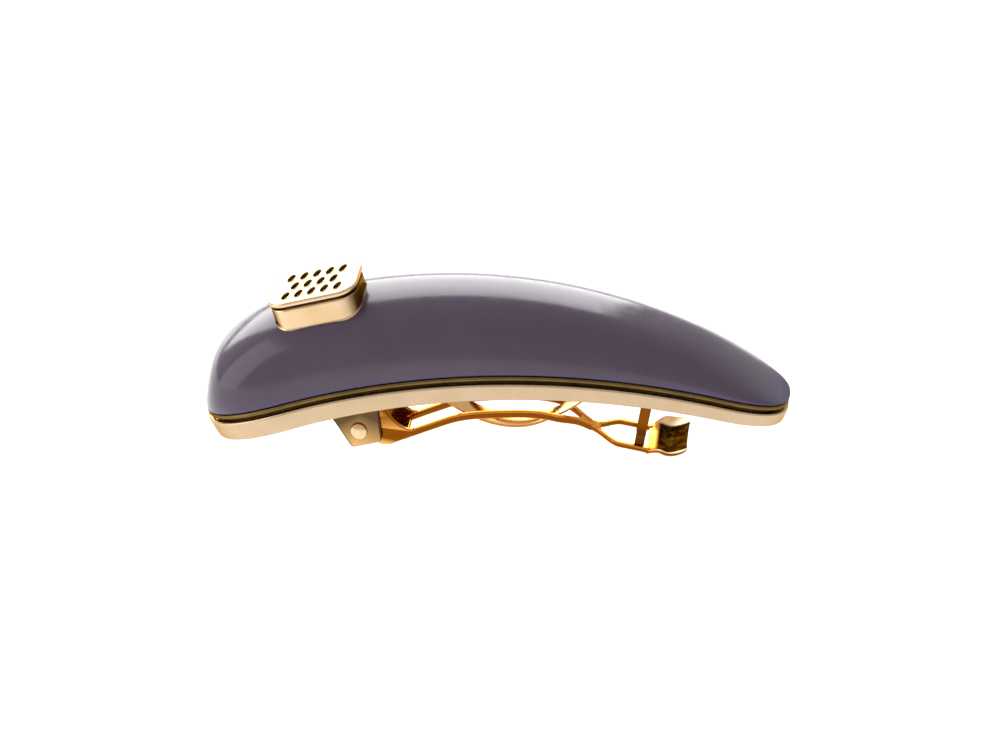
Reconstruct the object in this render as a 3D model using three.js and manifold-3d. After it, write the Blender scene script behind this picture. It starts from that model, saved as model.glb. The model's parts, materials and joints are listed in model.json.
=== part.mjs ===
// Barrette: a domed, enamelled ornament bent along an arc, set in a gilded band, with a small
// perforated badge on top and a sprung clasp (hinged arm, tension bow, squeeze catch) underneath.
// Units are millimetres. +Z is up, +X runs towards the tapered end, +Y is across.
//
// Every piece is laid out in arc coordinates (s, y, n): s is the distance along the bent top edge
// of the band, y is across it, and n is the height along the arc's normal, 0 at that edge.

import * as THREE from 'three';
import { mergeVertices } from 'three/addons/utils/BufferGeometryUtils.js';
import Module from 'manifold-3d';

const wasm = await Module();
wasm.setup();

// Driving dimensions.
const ARC_RADIUS = 108;
const ARC_LENGTH = 89.8;
const RESTING_PITCH = THREE.MathUtils.degToRad(2.8);
const GAP = 0.15;

const HALF_LENGTH = ARC_LENGTH / 2;
const WIDEST_AT = -25;
const MAX_HALF_WIDTH = 11.7;
const WIDTH_LOSS = 4.6;
const BAND_HEIGHT = 2.6;
const BAND_TAPER = 0.0105;
const BAND_WALL = 0.6;
const BAND_EDGE = 0.35;
const SHELF_DEPTH = 0.7;
const SHELF_WIDTH = 1.9;
const PLATE_SEAT = 1.2;
const PLATE_THICKNESS = 0.6;

const BEAD_RADIUS = 0.4;
const BEAD_INSET = 0.75;
const BEAD_HEIGHT = 0.75;

const ENAMEL_BASE = 1.25;
const ENAMEL_INSET = 0.45;
const ENAMEL_THICKNESS = 0.9;
const ENAMEL_RISE = 10.65;
const ENAMEL_FALL = 10.4;
const TALLEST_AT = -26;
const END_LEAN = 0.5;
const LEAN_FROM = -38;
const SHELL_THICKNESS = 0.6;
const SECTION_POWER = 2.3;

const BADGE_AT = -22.6;
const BADGE_ACROSS = -1.4;
const BADGE_LENGTH = 13.8;
const BADGE_WIDTH = 10.8;
const BADGE_CORNER = 3;
const BADGE_WALL = 0.9;
const BOX_INSET = 0.2;
const BOX_HEIGHT = 6;
const BADGE_TOP = 14.85;
const LID_THICKNESS = 0.7;
const BOX_TOP = BADGE_TOP - LID_THICKNESS - GAP;
const POCKET_DEPTH = 1.0;
const HOLE_ROWS = [5, 4, 5];
const HOLE_PITCH = 2.0;
const ROW_PITCH = 2.9;
const HOLE_LENGTH = 2.4;
const HOLE_WIDTH = 1.25;
const HOLE_DEPTH = 2;
const HOLE_SLANT = THREE.MathUtils.degToRad(14);
const POST_RADIUS = 0.8;
const POST_SPREAD = 3.0;
const POST_TOP = 12.2;
const POST_BOTTOM = 7.6;
const POST_BORE_LENGTH = 10;
const NUT_HEIGHT = 8.4;
const NUT_RADIUS = 2.0;
const NUT_THICKNESS = 0.6;

const BASE_THICKNESS = 0.8;
const BASE_HALF_WIDTH = 4.2;
const BASE_END = 27.6;
const EAR_THICKNESS = 0.7;
const PIN_AT = [-22.5, -9.2];
const PIN_RADIUS = 0.75;
const PIN_HEAD_RADIUS = 1.35;
const FLANGE_HALF_WIDTH = 3.3;
const FLANGE_THICKNESS = 0.7;
const RIVET_RADIUS = 0.8;
const RIVET_HEAD_RADIUS = 1.5;
const RIVET_AT = -17.5;
const RIVET_BORE_LENGTH = 4;
const WASHER_RADIUS = 1.7;
const WASHER_THICKNESS = 0.5;
const STAPLE_WALL = 0.5;
const STAPLE_INSET = 0.4;
const STAPLE_LENGTH = 1.4;
const RUNNING_GAP = 0.08;
const CATCH_AT = 24.2;

const RAIL_WIDTH = 1.0;
const RAIL_HEIGHT = 1.1;
const RAIL_START = -16;
const LOOP_RAIL_HEIGHT = 0.8;
const WEB_FROM = -19.4;
const WEB_TO = -15;
const WEB_THICKNESS = 0.6;
const NECK_AT = 16;
const NECK_HALF_WIDTH = 1.1;
const NECK_PLATE = 0.8;
const LOOP_END = 26.4;
const LOOP_HALF_WIDTH = 3.95;
const TAB_END = 32;
const TAB_HALF_WIDTH = 5.6;
const TAB_THICKNESS = 0.7;
const TAB_LEVEL = -12.4;
const TAB_SIDE_RISE = 1.4;
const TAB_END_RISE = 1.6;
const BOW_HALF_WIDTH = 2.0;
const BOW_TIP_HALF_WIDTH = 1.4;
const BOW_THICKNESS = 0.4;
const BOW_LOWEST = [3, -12.1];
const BOW_CURVE = 0.0385;
const FOOT_LENGTH = 2.4;
const JAW_LENGTH = 1.6;
const JAW_THICKNESS = 0.5;
const SADDLE_THICKNESS = 0.6;

const STATIONS = 28;
const DOME_COLUMNS = 12;
const HOLE_SIDES = 16;

const FINISH = {
  paleGold: { color: 0xe1c6a6, roughness: 0.25, metalness: 1 },
  darkGold: { color: 0x8a693f, roughness: 0.35, metalness: 1 },
  warmGold: { color: 0xd8974a, roughness: 0.22, metalness: 1 },
  bareBrass: { color: 0xb59a5c, roughness: 0.5, metalness: 1 },
  springSteel: { color: 0xc9b48c, roughness: 0.3, metalness: 1 },
  enamel: { color: 0x605466, roughness: 0.12, metalness: 0 },
  inlay: { color: 0x1c150f, roughness: 0.4, metalness: 0 },
};

// Arc coordinates to a point of the level frame.
function arc(s, y, n) {
  const angle = s / ARC_RADIUS;
  const radius = ARC_RADIUS + n;
  return new THREE.Vector3(radius * Math.sin(angle), y, radius * Math.cos(angle) - ARC_RADIUS);
}

// Turns and moves a geometry made about the origin to its place on the arc.
function place(geometry, s, y, n) {
  const point = arc(s, y, n);
  return geometry.rotateY(s / ARC_RADIUS).translate(point.x, point.y, point.z);
}

// Merges shared points, drops triangles that have collapsed, and turns the faces outwards.
function closed(positions, index) {
  const raw = new THREE.BufferGeometry();
  raw.setAttribute('position', new THREE.Float32BufferAttribute(positions, 3));
  raw.setIndex(index);
  const merged = mergeVertices(raw, 1e-4);
  const point = [0, 1, 2].map(() => new THREE.Vector3());
  const kept = [];
  let volume = 0;
  for (let i = 0; i < merged.index.count; i += 3) {
    const corner = [0, 1, 2].map((k) => merged.index.getX(i + k));
    if (new Set(corner).size < 3) continue;
    corner.forEach((id, k) => point[k].fromBufferAttribute(merged.attributes.position, id));
    volume += point[0].dot(point[1].clone().cross(point[2]));
    kept.push(...corner);
  }
  merged.setIndex(volume < 0 ? kept.reverse() : kept);
  return merged;
}

// A solid between two grids of points, top(i, j) and bottom(i, j).
function slab(rows, columns, top, bottom) {
  const positions = [];
  const index = [];
  const faces = [top, bottom];
  for (const face of faces) {
    for (let i = 0; i <= rows; i += 1) {
      for (let j = 0; j <= columns; j += 1) positions.push(...face(i, j).toArray());
    }
  }
  const id = (face, i, j) => face * (rows + 1) * (columns + 1) + i * (columns + 1) + j;
  const quad = (a, b, c, d) => index.push(a, b, c, a, c, d);
  for (let i = 0; i < rows; i += 1) {
    for (let j = 0; j < columns; j += 1) {
      quad(id(0, i, j), id(0, i + 1, j), id(0, i + 1, j + 1), id(0, i, j + 1));
      quad(id(1, i, j), id(1, i, j + 1), id(1, i + 1, j + 1), id(1, i + 1, j));
    }
    quad(id(0, i, 0), id(1, i, 0), id(1, i + 1, 0), id(0, i + 1, 0));
    quad(id(0, i, columns), id(0, i + 1, columns), id(1, i + 1, columns), id(1, i, columns));
  }
  for (let j = 0; j < columns; j += 1) {
    quad(id(0, 0, j), id(0, 0, j + 1), id(1, 0, j + 1), id(1, 0, j));
    quad(id(0, rows, j), id(1, rows, j), id(1, rows, j + 1), id(0, rows, j + 1));
  }
  return closed(positions, index);
}

// A bent strip from s = start to s = end; left, right, top and bottom are functions of s (and y).
function strip(start, end, rows, columns, left, right, top, bottom) {
  const at = (face) => (i, j) => {
    const s = start + ((end - start) * i) / rows;
    const y = left(s) + ((right(s) - left(s)) * j) / columns;
    return arc(s, y, face(s, y));
  };
  return slab(rows, columns, at(top), at(bottom));
}

// A shape with a straight depth and sharp edges.
function extrude(shape, depth, curveSegments) {
  return new THREE.ExtrudeGeometry(shape, { depth, bevelEnabled: false, curveSegments });
}

// A flat sheet standing along the arc: the shape is drawn in (s, n) and given a thickness in y.
function sheet(shape, yLow, thickness) {
  const flat = extrude(shape, thickness, 6).attributes.position;
  const positions = [];
  for (let i = 0; i < flat.count; i += 1) {
    positions.push(...arc(flat.getX(i), yLow + flat.getZ(i), flat.getY(i)).toArray());
  }
  return closed(positions, [...Array(flat.count).keys()]);
}

// Boolean work on closed geometries.
function solid(geometry) {
  const bare = geometry.clone();
  bare.deleteAttribute('normal');
  bare.deleteAttribute('uv');
  const merged = mergeVertices(bare, 1e-4);
  const vertProperties = Float32Array.from(merged.attributes.position.array);
  const triVerts = Uint32Array.from(merged.index.array);
  return new wasm.Manifold(new wasm.Mesh({ numProp: 3, vertProperties, triVerts }));
}

function geometryOf(manifold) {
  const mesh = manifold.getMesh();
  const geometry = new THREE.BufferGeometry();
  geometry.setAttribute('position', new THREE.Float32BufferAttribute(mesh.vertProperties, 3));
  geometry.setIndex([...mesh.triVerts]);
  return geometry;
}

const join = (...geometries) => geometryOf(geometries.map(solid).reduce((a, b) => a.add(b)));
const cut = (body, ...tools) => geometryOf(tools.map(solid).reduce((a, b) => a.subtract(b), solid(body)));

// The round-off of an end: 1 before from, falling to 0 at to.
function roundOff(s, from, to, power) {
  const along = THREE.MathUtils.clamp((s - from) / (to - from), 0, 1);
  return (1 - along ** power) ** (1 / power);
}

function halfWidth(s) {
  const along = Math.max(0, (s - WIDEST_AT) / (HALF_LENGTH - WIDEST_AT));
  const side = MAX_HALF_WIDTH - WIDTH_LOSS * along ** 2.4;
  return side * roundOff(s, -30, -HALF_LENGTH, 2.2) * roundOff(s, 34, HALF_LENGTH, 2.6);
}

function enamelRise(s) {
  const along = Math.max(0, (s - TALLEST_AT) / (HALF_LENGTH - TALLEST_AT));
  const crest = ENAMEL_RISE - ENAMEL_FALL * along ** 2.2;
  return crest * roundOff(s, TALLEST_AT, -HALF_LENGTH, 1.9) * roundOff(s, 30, HALF_LENGTH, 2);
}

const bandBottom = (s) => -(BAND_HEIGHT - BAND_TAPER * s);

const stationAt = (k) => -HALF_LENGTH * Math.cos((Math.PI * k) / STATIONS);

// One side of the plan outline, moved inwards by inset, at station k of 0 to STATIONS.
function outline(k, inset) {
  const s = stationAt(k);
  if (k === 0 || k === STATIONS) return [s - Math.sign(s) * inset, 0];
  const before = stationAt(k - 1);
  const after = stationAt(k + 1);
  const slope = new THREE.Vector2(after - before, halfWidth(after) - halfWidth(before)).normalize();
  return [s + slope.y * inset, halfWidth(s) - slope.x * inset];
}

// A closed ring swept round the outline; section(s) lists [inset, n] points.
function ring(section) {
  const positions = [];
  const index = [];
  const count = 2 * STATIONS;
  const sides = section(0).length;
  for (let i = 0; i < count; i += 1) {
    const k = i <= STATIONS ? i : count - i;
    for (const [inset, n] of section(stationAt(k))) {
      const [s, y] = outline(k, inset);
      positions.push(...arc(s, i <= STATIONS ? y : -y, n).toArray());
    }
  }
  for (let i = 0; i < count; i += 1) {
    const next = (i + 1) % count;
    for (let j = 0; j < sides; j += 1) {
      const k = (j + 1) % sides;
      const [a, b, c, d] = [i * sides + j, next * sides + j, next * sides + k, i * sides + k];
      index.push(a, b, c, a, c, d);
    }
  }
  return closed(positions, index);
}

// How far the dome's wide end leans inwards at height n, so that it doesn't overhang the band.
function leanAt(s, n) {
  const along = THREE.MathUtils.clamp((LEAN_FROM - s) / (LEAN_FROM + HALF_LENGTH), 0, 1);
  return END_LEAN * along ** 2 * Math.max(0, n - ENAMEL_BASE);
}

// A dome over the inset outline, from n = base up to base + rise(s).
function dome(inset, base, rise) {
  const at = (i, j, height) => {
    const [s, y] = outline(i, inset);
    const angle = (Math.PI * j) / DOME_COLUMNS;
    const across = Math.sign(Math.cos(angle)) * Math.abs(Math.cos(angle)) ** (2 / SECTION_POWER);
    const up = Math.sin(angle) ** (2 / SECTION_POWER);
    const edge = j === 0 || j === DOME_COLUMNS || i === 0 || i === STATIONS;
    const n = base + (edge ? 0 : height * up);
    return arc(s + leanAt(s, n), y * across, n);
  };
  const top = (i, j) => at(i, j, rise(stationAt(i)));
  const bottom = (i, j) => at(i, j, 0);
  return slab(STATIONS, DOME_COLUMNS, top, bottom);
}

// A hollow dome, open underneath.
function hollowDome(inset, base, sink, thickness) {
  const reach = 1;
  const outer = dome(inset, base, (s) => Math.max(enamelRise(s) - sink, 0.1));
  const innerRise = (s) => Math.max(enamelRise(s) - sink - thickness + reach, 0.1);
  return cut(outer, dome(inset + thickness, base - reach, innerRise));
}

// Ornament.
function rimFrame() {
  return ring((s) => {
    const bottom = bandBottom(s);
    return [
      [0, bottom + BAND_EDGE],
      [0, -BAND_EDGE],
      [BAND_EDGE * 0.3, -BAND_EDGE * 0.3],
      [BAND_EDGE, 0],
      [BAND_WALL, 0],
      [BAND_WALL, -SHELF_DEPTH],
      [SHELF_WIDTH, -SHELF_DEPTH],
      [SHELF_WIDTH, bottom + PLATE_THICKNESS + 2 * GAP],
      [PLATE_SEAT, bottom + PLATE_THICKNESS + 2 * GAP],
      [PLATE_SEAT, bottom],
      [BAND_EDGE, bottom],
      [BAND_EDGE * 0.3, bottom + BAND_EDGE * 0.3],
    ];
  });
}

function bezelWire() {
  const sides = 8;
  return ring(() => Array.from({ length: sides }, (_, j) => {
    const angle = (2 * Math.PI * j) / sides;
    return [BEAD_INSET + BEAD_RADIUS * Math.cos(angle), BEAD_HEIGHT + BEAD_RADIUS * Math.sin(angle)];
  }));
}

function backPlate() {
  const at = (lift) => (i, j) => {
    const [s, y] = outline(i, PLATE_SEAT + GAP);
    return arc(s, y * (1 - j), bandBottom(s) + lift);
  };
  const plate = slab(STATIONS, 2, at(GAP + PLATE_THICKNESS), at(GAP));
  return cut(plate, ...rivetStations().map((s) => rivetBore(s, bandBottom(s))));
}

const rivetStations = () => [RIVET_AT, CATCH_AT];

function rivetBore(s, n) {
  const radius = RIVET_RADIUS + GAP;
  const tool = upright(new THREE.CylinderGeometry(radius, radius, RIVET_BORE_LENGTH, HOLE_SIDES));
  return place(tool, s, 0, n);
}

// Lathe and cylinder shapes are made about Y; this stands them on Z.
const upright = (geometry) => geometry.rotateX(Math.PI / 2);

const postStations = () => [BADGE_AT - POST_SPREAD, BADGE_AT + POST_SPREAD];

function postBore(s) {
  const radius = POST_RADIUS + GAP;
  const tool = upright(new THREE.CylinderGeometry(radius, radius, POST_BORE_LENGTH, HOLE_SIDES));
  return place(tool, s, BADGE_ACROSS, NUT_HEIGHT);
}

function enamelDome() {
  const shell = hollowDome(ENAMEL_INSET, ENAMEL_BASE, 0, ENAMEL_THICKNESS);
  return cut(shell, ...postStations().map(postBore));
}

function domeShell() {
  const inset = ENAMEL_INSET + ENAMEL_THICKNESS + GAP;
  const base = -SHELF_DEPTH + GAP;
  const sink = ENAMEL_THICKNESS + GAP - (ENAMEL_BASE - base);
  const shell = hollowDome(inset, base, sink, SHELL_THICKNESS);
  return cut(shell, ...postStations().map(postBore));
}

// Badge: a cushion-cornered box with an inlay under a perforated lid.
function cushion(inset, thickness, bottom) {
  const [x, y] = [BADGE_LENGTH / 2 - inset, BADGE_WIDTH / 2 - inset];
  const corner = BADGE_CORNER - inset;
  const shape = new THREE.Shape();
  shape.moveTo(x - corner, -y);
  shape.absarc(x - corner, corner - y, corner, -Math.PI / 2, 0);
  shape.absarc(x - corner, y - corner, corner, 0, Math.PI / 2);
  shape.absarc(corner - x, y - corner, corner, Math.PI / 2, Math.PI);
  shape.absarc(corner - x, corner - y, corner, Math.PI, 1.5 * Math.PI);
  return place(extrude(shape, thickness, 5), BADGE_AT, BADGE_ACROSS, bottom);
}

function perforation(x, y) {
  const shape = new THREE.Shape();
  shape.absellipse(0, 0, HOLE_WIDTH / 2, HOLE_LENGTH / 2, 0, 2 * Math.PI);
  const hole = extrude(shape, HOLE_DEPTH, 5).rotateZ(-HOLE_SLANT).translate(x, y, 0);
  return place(hole, BADGE_AT, BADGE_ACROSS, BADGE_TOP - LID_THICKNESS - HOLE_DEPTH / 3);
}

function badgeLid() {
  const holes = HOLE_ROWS.flatMap((count, row) => Array.from({ length: count }, (_, column) => {
    const x = (column - (count - 1) / 2) * HOLE_PITCH;
    return perforation(x, (row - (HOLE_ROWS.length - 1) / 2) * ROW_PITCH);
  }));
  return cut(cushion(0, LID_THICKNESS, BADGE_TOP - LID_THICKNESS), ...holes);
}

function badgeInlay() {
  return cushion(BADGE_WALL + GAP, POCKET_DEPTH - GAP, BOX_TOP - POCKET_DEPTH + GAP);
}

function badgeBox() {
  const block = cushion(BOX_INSET, BOX_HEIGHT, BOX_TOP - BOX_HEIGHT);
  const pocket = cushion(BADGE_WALL, POCKET_DEPTH + 1, BOX_TOP - POCKET_DEPTH);
  const seat = dome(ENAMEL_INSET, ENAMEL_BASE, (s) => enamelRise(s) + GAP);
  return cut(block, pocket, seat, ...postStations().map(postBore));
}

function badgePost() {
  const pin = new THREE.CylinderGeometry(POST_RADIUS, POST_RADIUS, POST_TOP - POST_BOTTOM, 12);
  return upright(pin).translate(0, 0, (POST_TOP + POST_BOTTOM) / 2);
}

// A flat ring about Z, from z = 0 up.
function washer(inner, outer, thickness) {
  const profile = [[inner, 0], [outer, 0], [outer, thickness], [inner, thickness], [inner, 0]];
  return upright(new THREE.LatheGeometry(profile.map((p) => new THREE.Vector2(...p)), HOLE_SIDES));
}

// Clasp base: a bent strip with two ears for the hinge and two staples for the bow's feet.
const baseTop = (s) => bandBottom(s) - GAP;
const baseBottom = (s) => baseTop(s) - BASE_THICKNESS;

function earShape() {
  const shape = new THREE.Shape();
  shape.moveTo(-27.2, -3.1);
  shape.lineTo(-25.9, -7.0);
  shape.lineTo(-24.7, -11.4);
  shape.quadraticCurveTo(-24.5, -11.75, -24.0, -11.75);
  shape.lineTo(-19.9, -11.75);
  shape.quadraticCurveTo(-19.4, -11.7, -19.2, -11.2);
  shape.lineTo(-18.7, -7.0);
  shape.lineTo(-17.4, -3.1);
  return shape;
}

function pinBore(radius) {
  const length = 3 * BASE_HALF_WIDTH;
  return place(new THREE.CylinderGeometry(radius, radius, length, HOLE_SIDES), PIN_AT[0], 0, PIN_AT[1]);
}

function block(start, end, yLow, yHigh, nLow, nHigh) {
  return strip(start, end, 2, 1, () => yLow, () => yHigh, () => nHigh, () => nLow);
}

function staple(start, end) {
  const inside = BOW_HALF_WIDTH + GAP;
  const outside = inside + STAPLE_WALL;
  const ceiling = baseBottom((start + end) / 2);
  const floor = ceiling - BOW_THICKNESS - 2 * GAP;
  const under = floor - STAPLE_WALL;
  const joined = ceiling + BASE_THICKNESS / 2;
  const cheek = (side) => block(start, end, side * inside, side * outside, under, joined);
  return [block(start, end, -outside, outside, under, floor), cheek(-1), cheek(1)];
}

function claspBase() {
  const rounding = (s) => roundOff(Math.abs(s), BASE_END - 2, BASE_END + 0.4, 2.4);
  const edge = (side) => (s) => side * BASE_HALF_WIDTH * rounding(s);
  const plate = strip(-BASE_END, BASE_END, 26, 2, edge(-1), edge(1), baseTop, baseBottom);
  const ears = [-BASE_HALF_WIDTH, BASE_HALF_WIDTH - EAR_THICKNESS]
    .map((y) => sheet(earShape(), y, EAR_THICKNESS));
  const [left, right] = bowFeet();
  const starts = [left + STAPLE_INSET, right - STAPLE_INSET - STAPLE_LENGTH];
  const staples = starts.flatMap((start) => staple(start, start + STAPLE_LENGTH));
  const whole = join(plate, ...ears, ...staples);
  const rivetBores = rivetStations().map((s) => rivetBore(s, baseBottom(s)));
  return cut(whole, pinBore(PIN_RADIUS + RUNNING_GAP), ...rivetBores);
}

// A rivet about Z with a domed head below and a flat, set end above.
function rivet(shankBottom, shankTop) {
  const headHeight = 0.7;
  const profile = [
    [0, shankBottom - headHeight],
    [RIVET_HEAD_RADIUS * 0.7, shankBottom - headHeight * 0.7],
    [RIVET_HEAD_RADIUS, shankBottom],
    [RIVET_RADIUS, shankBottom],
    [RIVET_RADIUS, shankTop],
    [0, shankTop],
  ];
  return upright(new THREE.LatheGeometry(profile.map((p) => new THREE.Vector2(...p)), 16));
}

function hingePin() {
  const outside = BASE_HALF_WIDTH + GAP / 2;
  const headHeight = 0.7;
  const half = [
    [PIN_RADIUS, outside],
    [PIN_HEAD_RADIUS, outside],
    [PIN_HEAD_RADIUS * 0.9, outside + headHeight * 0.5],
    [PIN_HEAD_RADIUS * 0.55, outside + headHeight * 0.86],
    [0, outside + headHeight],
  ];
  const mirrored = half.map(([r, y]) => [r, -y]).reverse();
  const profile = [...mirrored, ...half].map((p) => new THREE.Vector2(...p));
  return place(new THREE.LatheGeometry(profile, 16), PIN_AT[0], 0, PIN_AT[1]);
}

// Arm: the middle height of its rails, from the hinge to the thumb tab.
const ARM_LINE = [
  [RAIL_START, -12.0], [-10.7, -10.8], [-5.6, -9.7], [1, -9.35], [8, -9.35], [12.8, -10.4],
  [NECK_AT, -11.8], [19, -12.3], [LOOP_END, -12.55],
];
const armCurve = new THREE.CubicInterpolant(ARM_LINE.map((p) => p[0]), ARM_LINE.map((p) => p[1]), 1);
const armMiddle = (s) => armCurve.evaluate(s)[0];

// The outer edge of the arm's frame, its neck and its loop.
function armEdge(s) {
  const narrowing = THREE.MathUtils.smoothstep(s, 9.5, NECK_AT);
  const frame = THREE.MathUtils.lerp(FLANGE_HALF_WIDTH, NECK_HALF_WIDTH, narrowing);
  const widening = THREE.MathUtils.smoothstep(s, NECK_AT, 21);
  return frame + widening * (LOOP_HALF_WIDTH - NECK_HALF_WIDTH);
}

function armRail(side, start, end, rows, height) {
  const outer = (s) => side * armEdge(s);
  const inner = (s) => side * (armEdge(s) - RAIL_WIDTH);
  const [left, right] = side > 0 ? [inner, outer] : [outer, inner];
  const level = (lift) => (s) => armMiddle(s) + lift;
  return strip(start, end, rows, 1, left, right, level(height / 2), level(-height / 2));
}

function flangeShape() {
  const shape = new THREE.Shape();
  shape.moveTo(-24.4, -9.6);
  shape.absarc(PIN_AT[0], PIN_AT[1], 1.95, Math.PI * 1.05, Math.PI * 0.6, true);
  shape.lineTo(-20.6, -6.3);
  shape.lineTo(-17.6, -6.0);
  shape.quadraticCurveTo(-17.1, -10.2, -13.8, -11.0);
  shape.lineTo(-14.0, -12.0);
  shape.lineTo(-18.4, -12.9);
  shape.lineTo(-19.6, -12.7);
  return shape;
}

// The dished thumb tab: a plate with raised sides and a turned-up end.
function thumbTab() {
  const start = LOOP_END - 0.8;
  const edge = (s) => {
    const widening = THREE.MathUtils.smoothstep(s, start - 0.4, 29);
    const side = THREE.MathUtils.lerp(LOOP_HALF_WIDTH, TAB_HALF_WIDTH, widening);
    return side * roundOff(s, 29.4, TAB_END + 0.7, 2.6);
  };
  const top = (s, y) => {
    const dish = THREE.MathUtils.smoothstep(s, start - 0.4, 28) * Math.abs(y / edge(s)) ** 3;
    const end = TAB_END_RISE * THREE.MathUtils.smoothstep(s, 28.8, TAB_END + 0.6);
    return TAB_LEVEL + TAB_SIDE_RISE * dish * (1 - end / 3) + end;
  };
  const bottom = (s, y) => top(s, y) - TAB_THICKNESS;
  return strip(start, TAB_END, 12, 8, (s) => -edge(s), edge, top, bottom);
}

function claspArm() {
  const flanges = [-FLANGE_HALF_WIDTH, FLANGE_HALF_WIDTH - FLANGE_THICKNESS]
    .map((y) => sheet(flangeShape(), y, FLANGE_THICKNESS));
  const webTop = (s) => THREE.MathUtils.mapLinear(s, WEB_FROM, -13, -12.1, -11.2);
  const webBottom = (s) => webTop(s) - WEB_THICKNESS;
  const edge = () => FLANGE_HALF_WIDTH;
  const web = strip(WEB_FROM, WEB_TO, 2, 1, () => -edge(), edge, webTop, webBottom);
  const rails = [-1, 1].flatMap((side) => [
    armRail(side, RAIL_START, NECK_AT, 16, RAIL_HEIGHT),
    armRail(side, NECK_AT - 0.6, LOOP_END, 10, LOOP_RAIL_HEIGHT),
  ]);
  const half = () => NECK_PLATE;
  const level = (lift) => (s) => armMiddle(s) + lift;
  const neckLevels = [level(NECK_PLATE / 2), level(-NECK_PLATE / 2)];
  const neck = strip(NECK_AT - 2, NECK_AT + 1.5, 3, 1, () => -half(), half, ...neckLevels);
  const whole = join(...flanges, web, ...rails, neck, thumbTab());
  return cut(whole, pinBore(PIN_RADIUS + RUNNING_GAP));
}

// Tension bow: a thin spring strip with a flat foot at each end.
const bowTop = (s) => BOW_LOWEST[1] + BOW_THICKNESS + BOW_CURVE * (s - BOW_LOWEST[0]) ** 2;

// The s at each end of the bow, feet included.
function bowFeet() {
  const rise = baseBottom(0) - GAP - BOW_LOWEST[1] - BOW_THICKNESS;
  const span = Math.sqrt(rise / BOW_CURVE);
  return [BOW_LOWEST[0] - span - FOOT_LENGTH, BOW_LOWEST[0] + span + FOOT_LENGTH];
}

function tensionBow() {
  const [start, end] = bowFeet();
  const top = (s) => Math.min(bowTop(s), baseBottom(s) - GAP);
  const edge = (s) => {
    const narrowing = THREE.MathUtils.smoothstep(s, 5, 11);
    return THREE.MathUtils.lerp(BOW_HALF_WIDTH, BOW_TIP_HALF_WIDTH, narrowing);
  };
  return strip(start, end, 30, 1, (s) => -edge(s), edge, top, (s) => top(s) - BOW_THICKNESS);
}

// Catch: a saddle riveted to the base and two squeeze jaws that stand in the arm's loop.
const saddleTop = () => baseBottom(CATCH_AT) - GAP;

function catchSaddle() {
  const [start, end] = [CATCH_AT - 2.2, CATCH_AT + 2.4];
  const side = 2.9;
  const saddle = block(start, end, -side, side, saddleTop() - SADDLE_THICKNESS, saddleTop());
  return cut(saddle, rivetBore(CATCH_AT, saddleTop()));
}

// A jaw's section across the barrette, from its root down to its hook.
function jawShape(side) {
  const root = saddleTop() - SADDLE_THICKNESS - GAP;
  const outside = 1.9;
  const inside = outside - JAW_THICKNESS;
  const points = [
    [2.3, root], [outside, root - 2], [outside, root - 4.5], [2.2, -11.3], [2.85, -12.0],
    [2.75, -12.8], [2.3, -13.0], [1.6, -12.7], [1.75, -11.4], [inside, root - 4.5],
    [inside, root - 2], [1.75, root],
  ];
  return new THREE.Shape(points.map(([y, n]) => new THREE.Vector2(side * y, n)));
}

function catchJaw(side) {
  const p = extrude(jawShape(side), JAW_LENGTH, 1).attributes.position;
  const positions = [];
  for (let i = 0; i < p.count; i += 1) {
    positions.push(...arc(CATCH_AT - JAW_LENGTH / 2 + p.getZ(i), p.getX(i), p.getY(i)).toArray());
  }
  return closed(positions, [...Array(p.count).keys()]);
}

const barrette = new THREE.Group();

function add(name, geometry, finish) {
  const mesh = new THREE.Mesh(geometry, new THREE.MeshStandardMaterial(FINISH[finish]));
  mesh.name = name;
  barrette.add(mesh);
}

function addOrnament() {
  add('rim_frame', rimFrame(), 'paleGold');
  add('bezel_wire', bezelWire(), 'darkGold');
  add('back_plate', backPlate(), 'paleGold');
  add('dome_shell', domeShell(), 'bareBrass');
  add('enamel_dome', enamelDome(), 'enamel');
}

function addBadge() {
  add('badge_box', badgeBox(), 'paleGold');
  add('badge_inlay', badgeInlay(), 'inlay');
  add('badge_lid', badgeLid(), 'paleGold');
  const sides = ['left', 'right'];
  postStations().forEach((s, i) => {
    add(`badge_post_${sides[i]}`, place(badgePost(), s, BADGE_ACROSS, 0), 'bareBrass');
    const nut = washer(POST_RADIUS + GAP, NUT_RADIUS, NUT_THICKNESS);
    add(`push_nut_${sides[i]}`, place(nut, s, BADGE_ACROSS, NUT_HEIGHT), 'springSteel');
  });
}

function addFasteners() {
  const names = ['hinge_end', 'catch_end'];
  const seats = [baseBottom(RIVET_AT), saddleTop() - SADDLE_THICKNESS];
  rivetStations().forEach((s, i) => {
    const plateTop = bandBottom(s) + GAP + PLATE_THICKNESS;
    const shankTop = plateTop + WASHER_THICKNESS + 0.4;
    add(`base_rivet_${names[i]}`, place(rivet(seats[i] - GAP, shankTop), s, 0, 0), 'bareBrass');
    const ringBody = washer(RIVET_RADIUS + GAP, WASHER_RADIUS, WASHER_THICKNESS);
    add(`rivet_washer_${names[i]}`, place(ringBody, s, 0, plateTop + GAP), 'bareBrass');
  });
}

function addClasp() {
  add('clasp_base', claspBase(), 'warmGold');
  add('hinge_pin', hingePin(), 'paleGold');
  add('clasp_arm', claspArm(), 'warmGold');
  add('tension_bow', tensionBow(), 'springSteel');
  add('catch_saddle', catchSaddle(), 'warmGold');
  add('catch_jaw_near', catchJaw(-1), 'warmGold');
  add('catch_jaw_far', catchJaw(1), 'warmGold');
}

addOrnament();
addBadge();
addFasteners();
addClasp();

// The barrette lies on its hinge ears and thumb tab; the origin is below its middle, on that plane.
barrette.rotation.y = -RESTING_PITCH;
const box = new THREE.Box3().setFromObject(barrette, true);
barrette.position.set(-(box.min.x + box.max.x) / 2, -(box.min.y + box.max.y) / 2, -box.min.z);

export default barrette;
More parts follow.
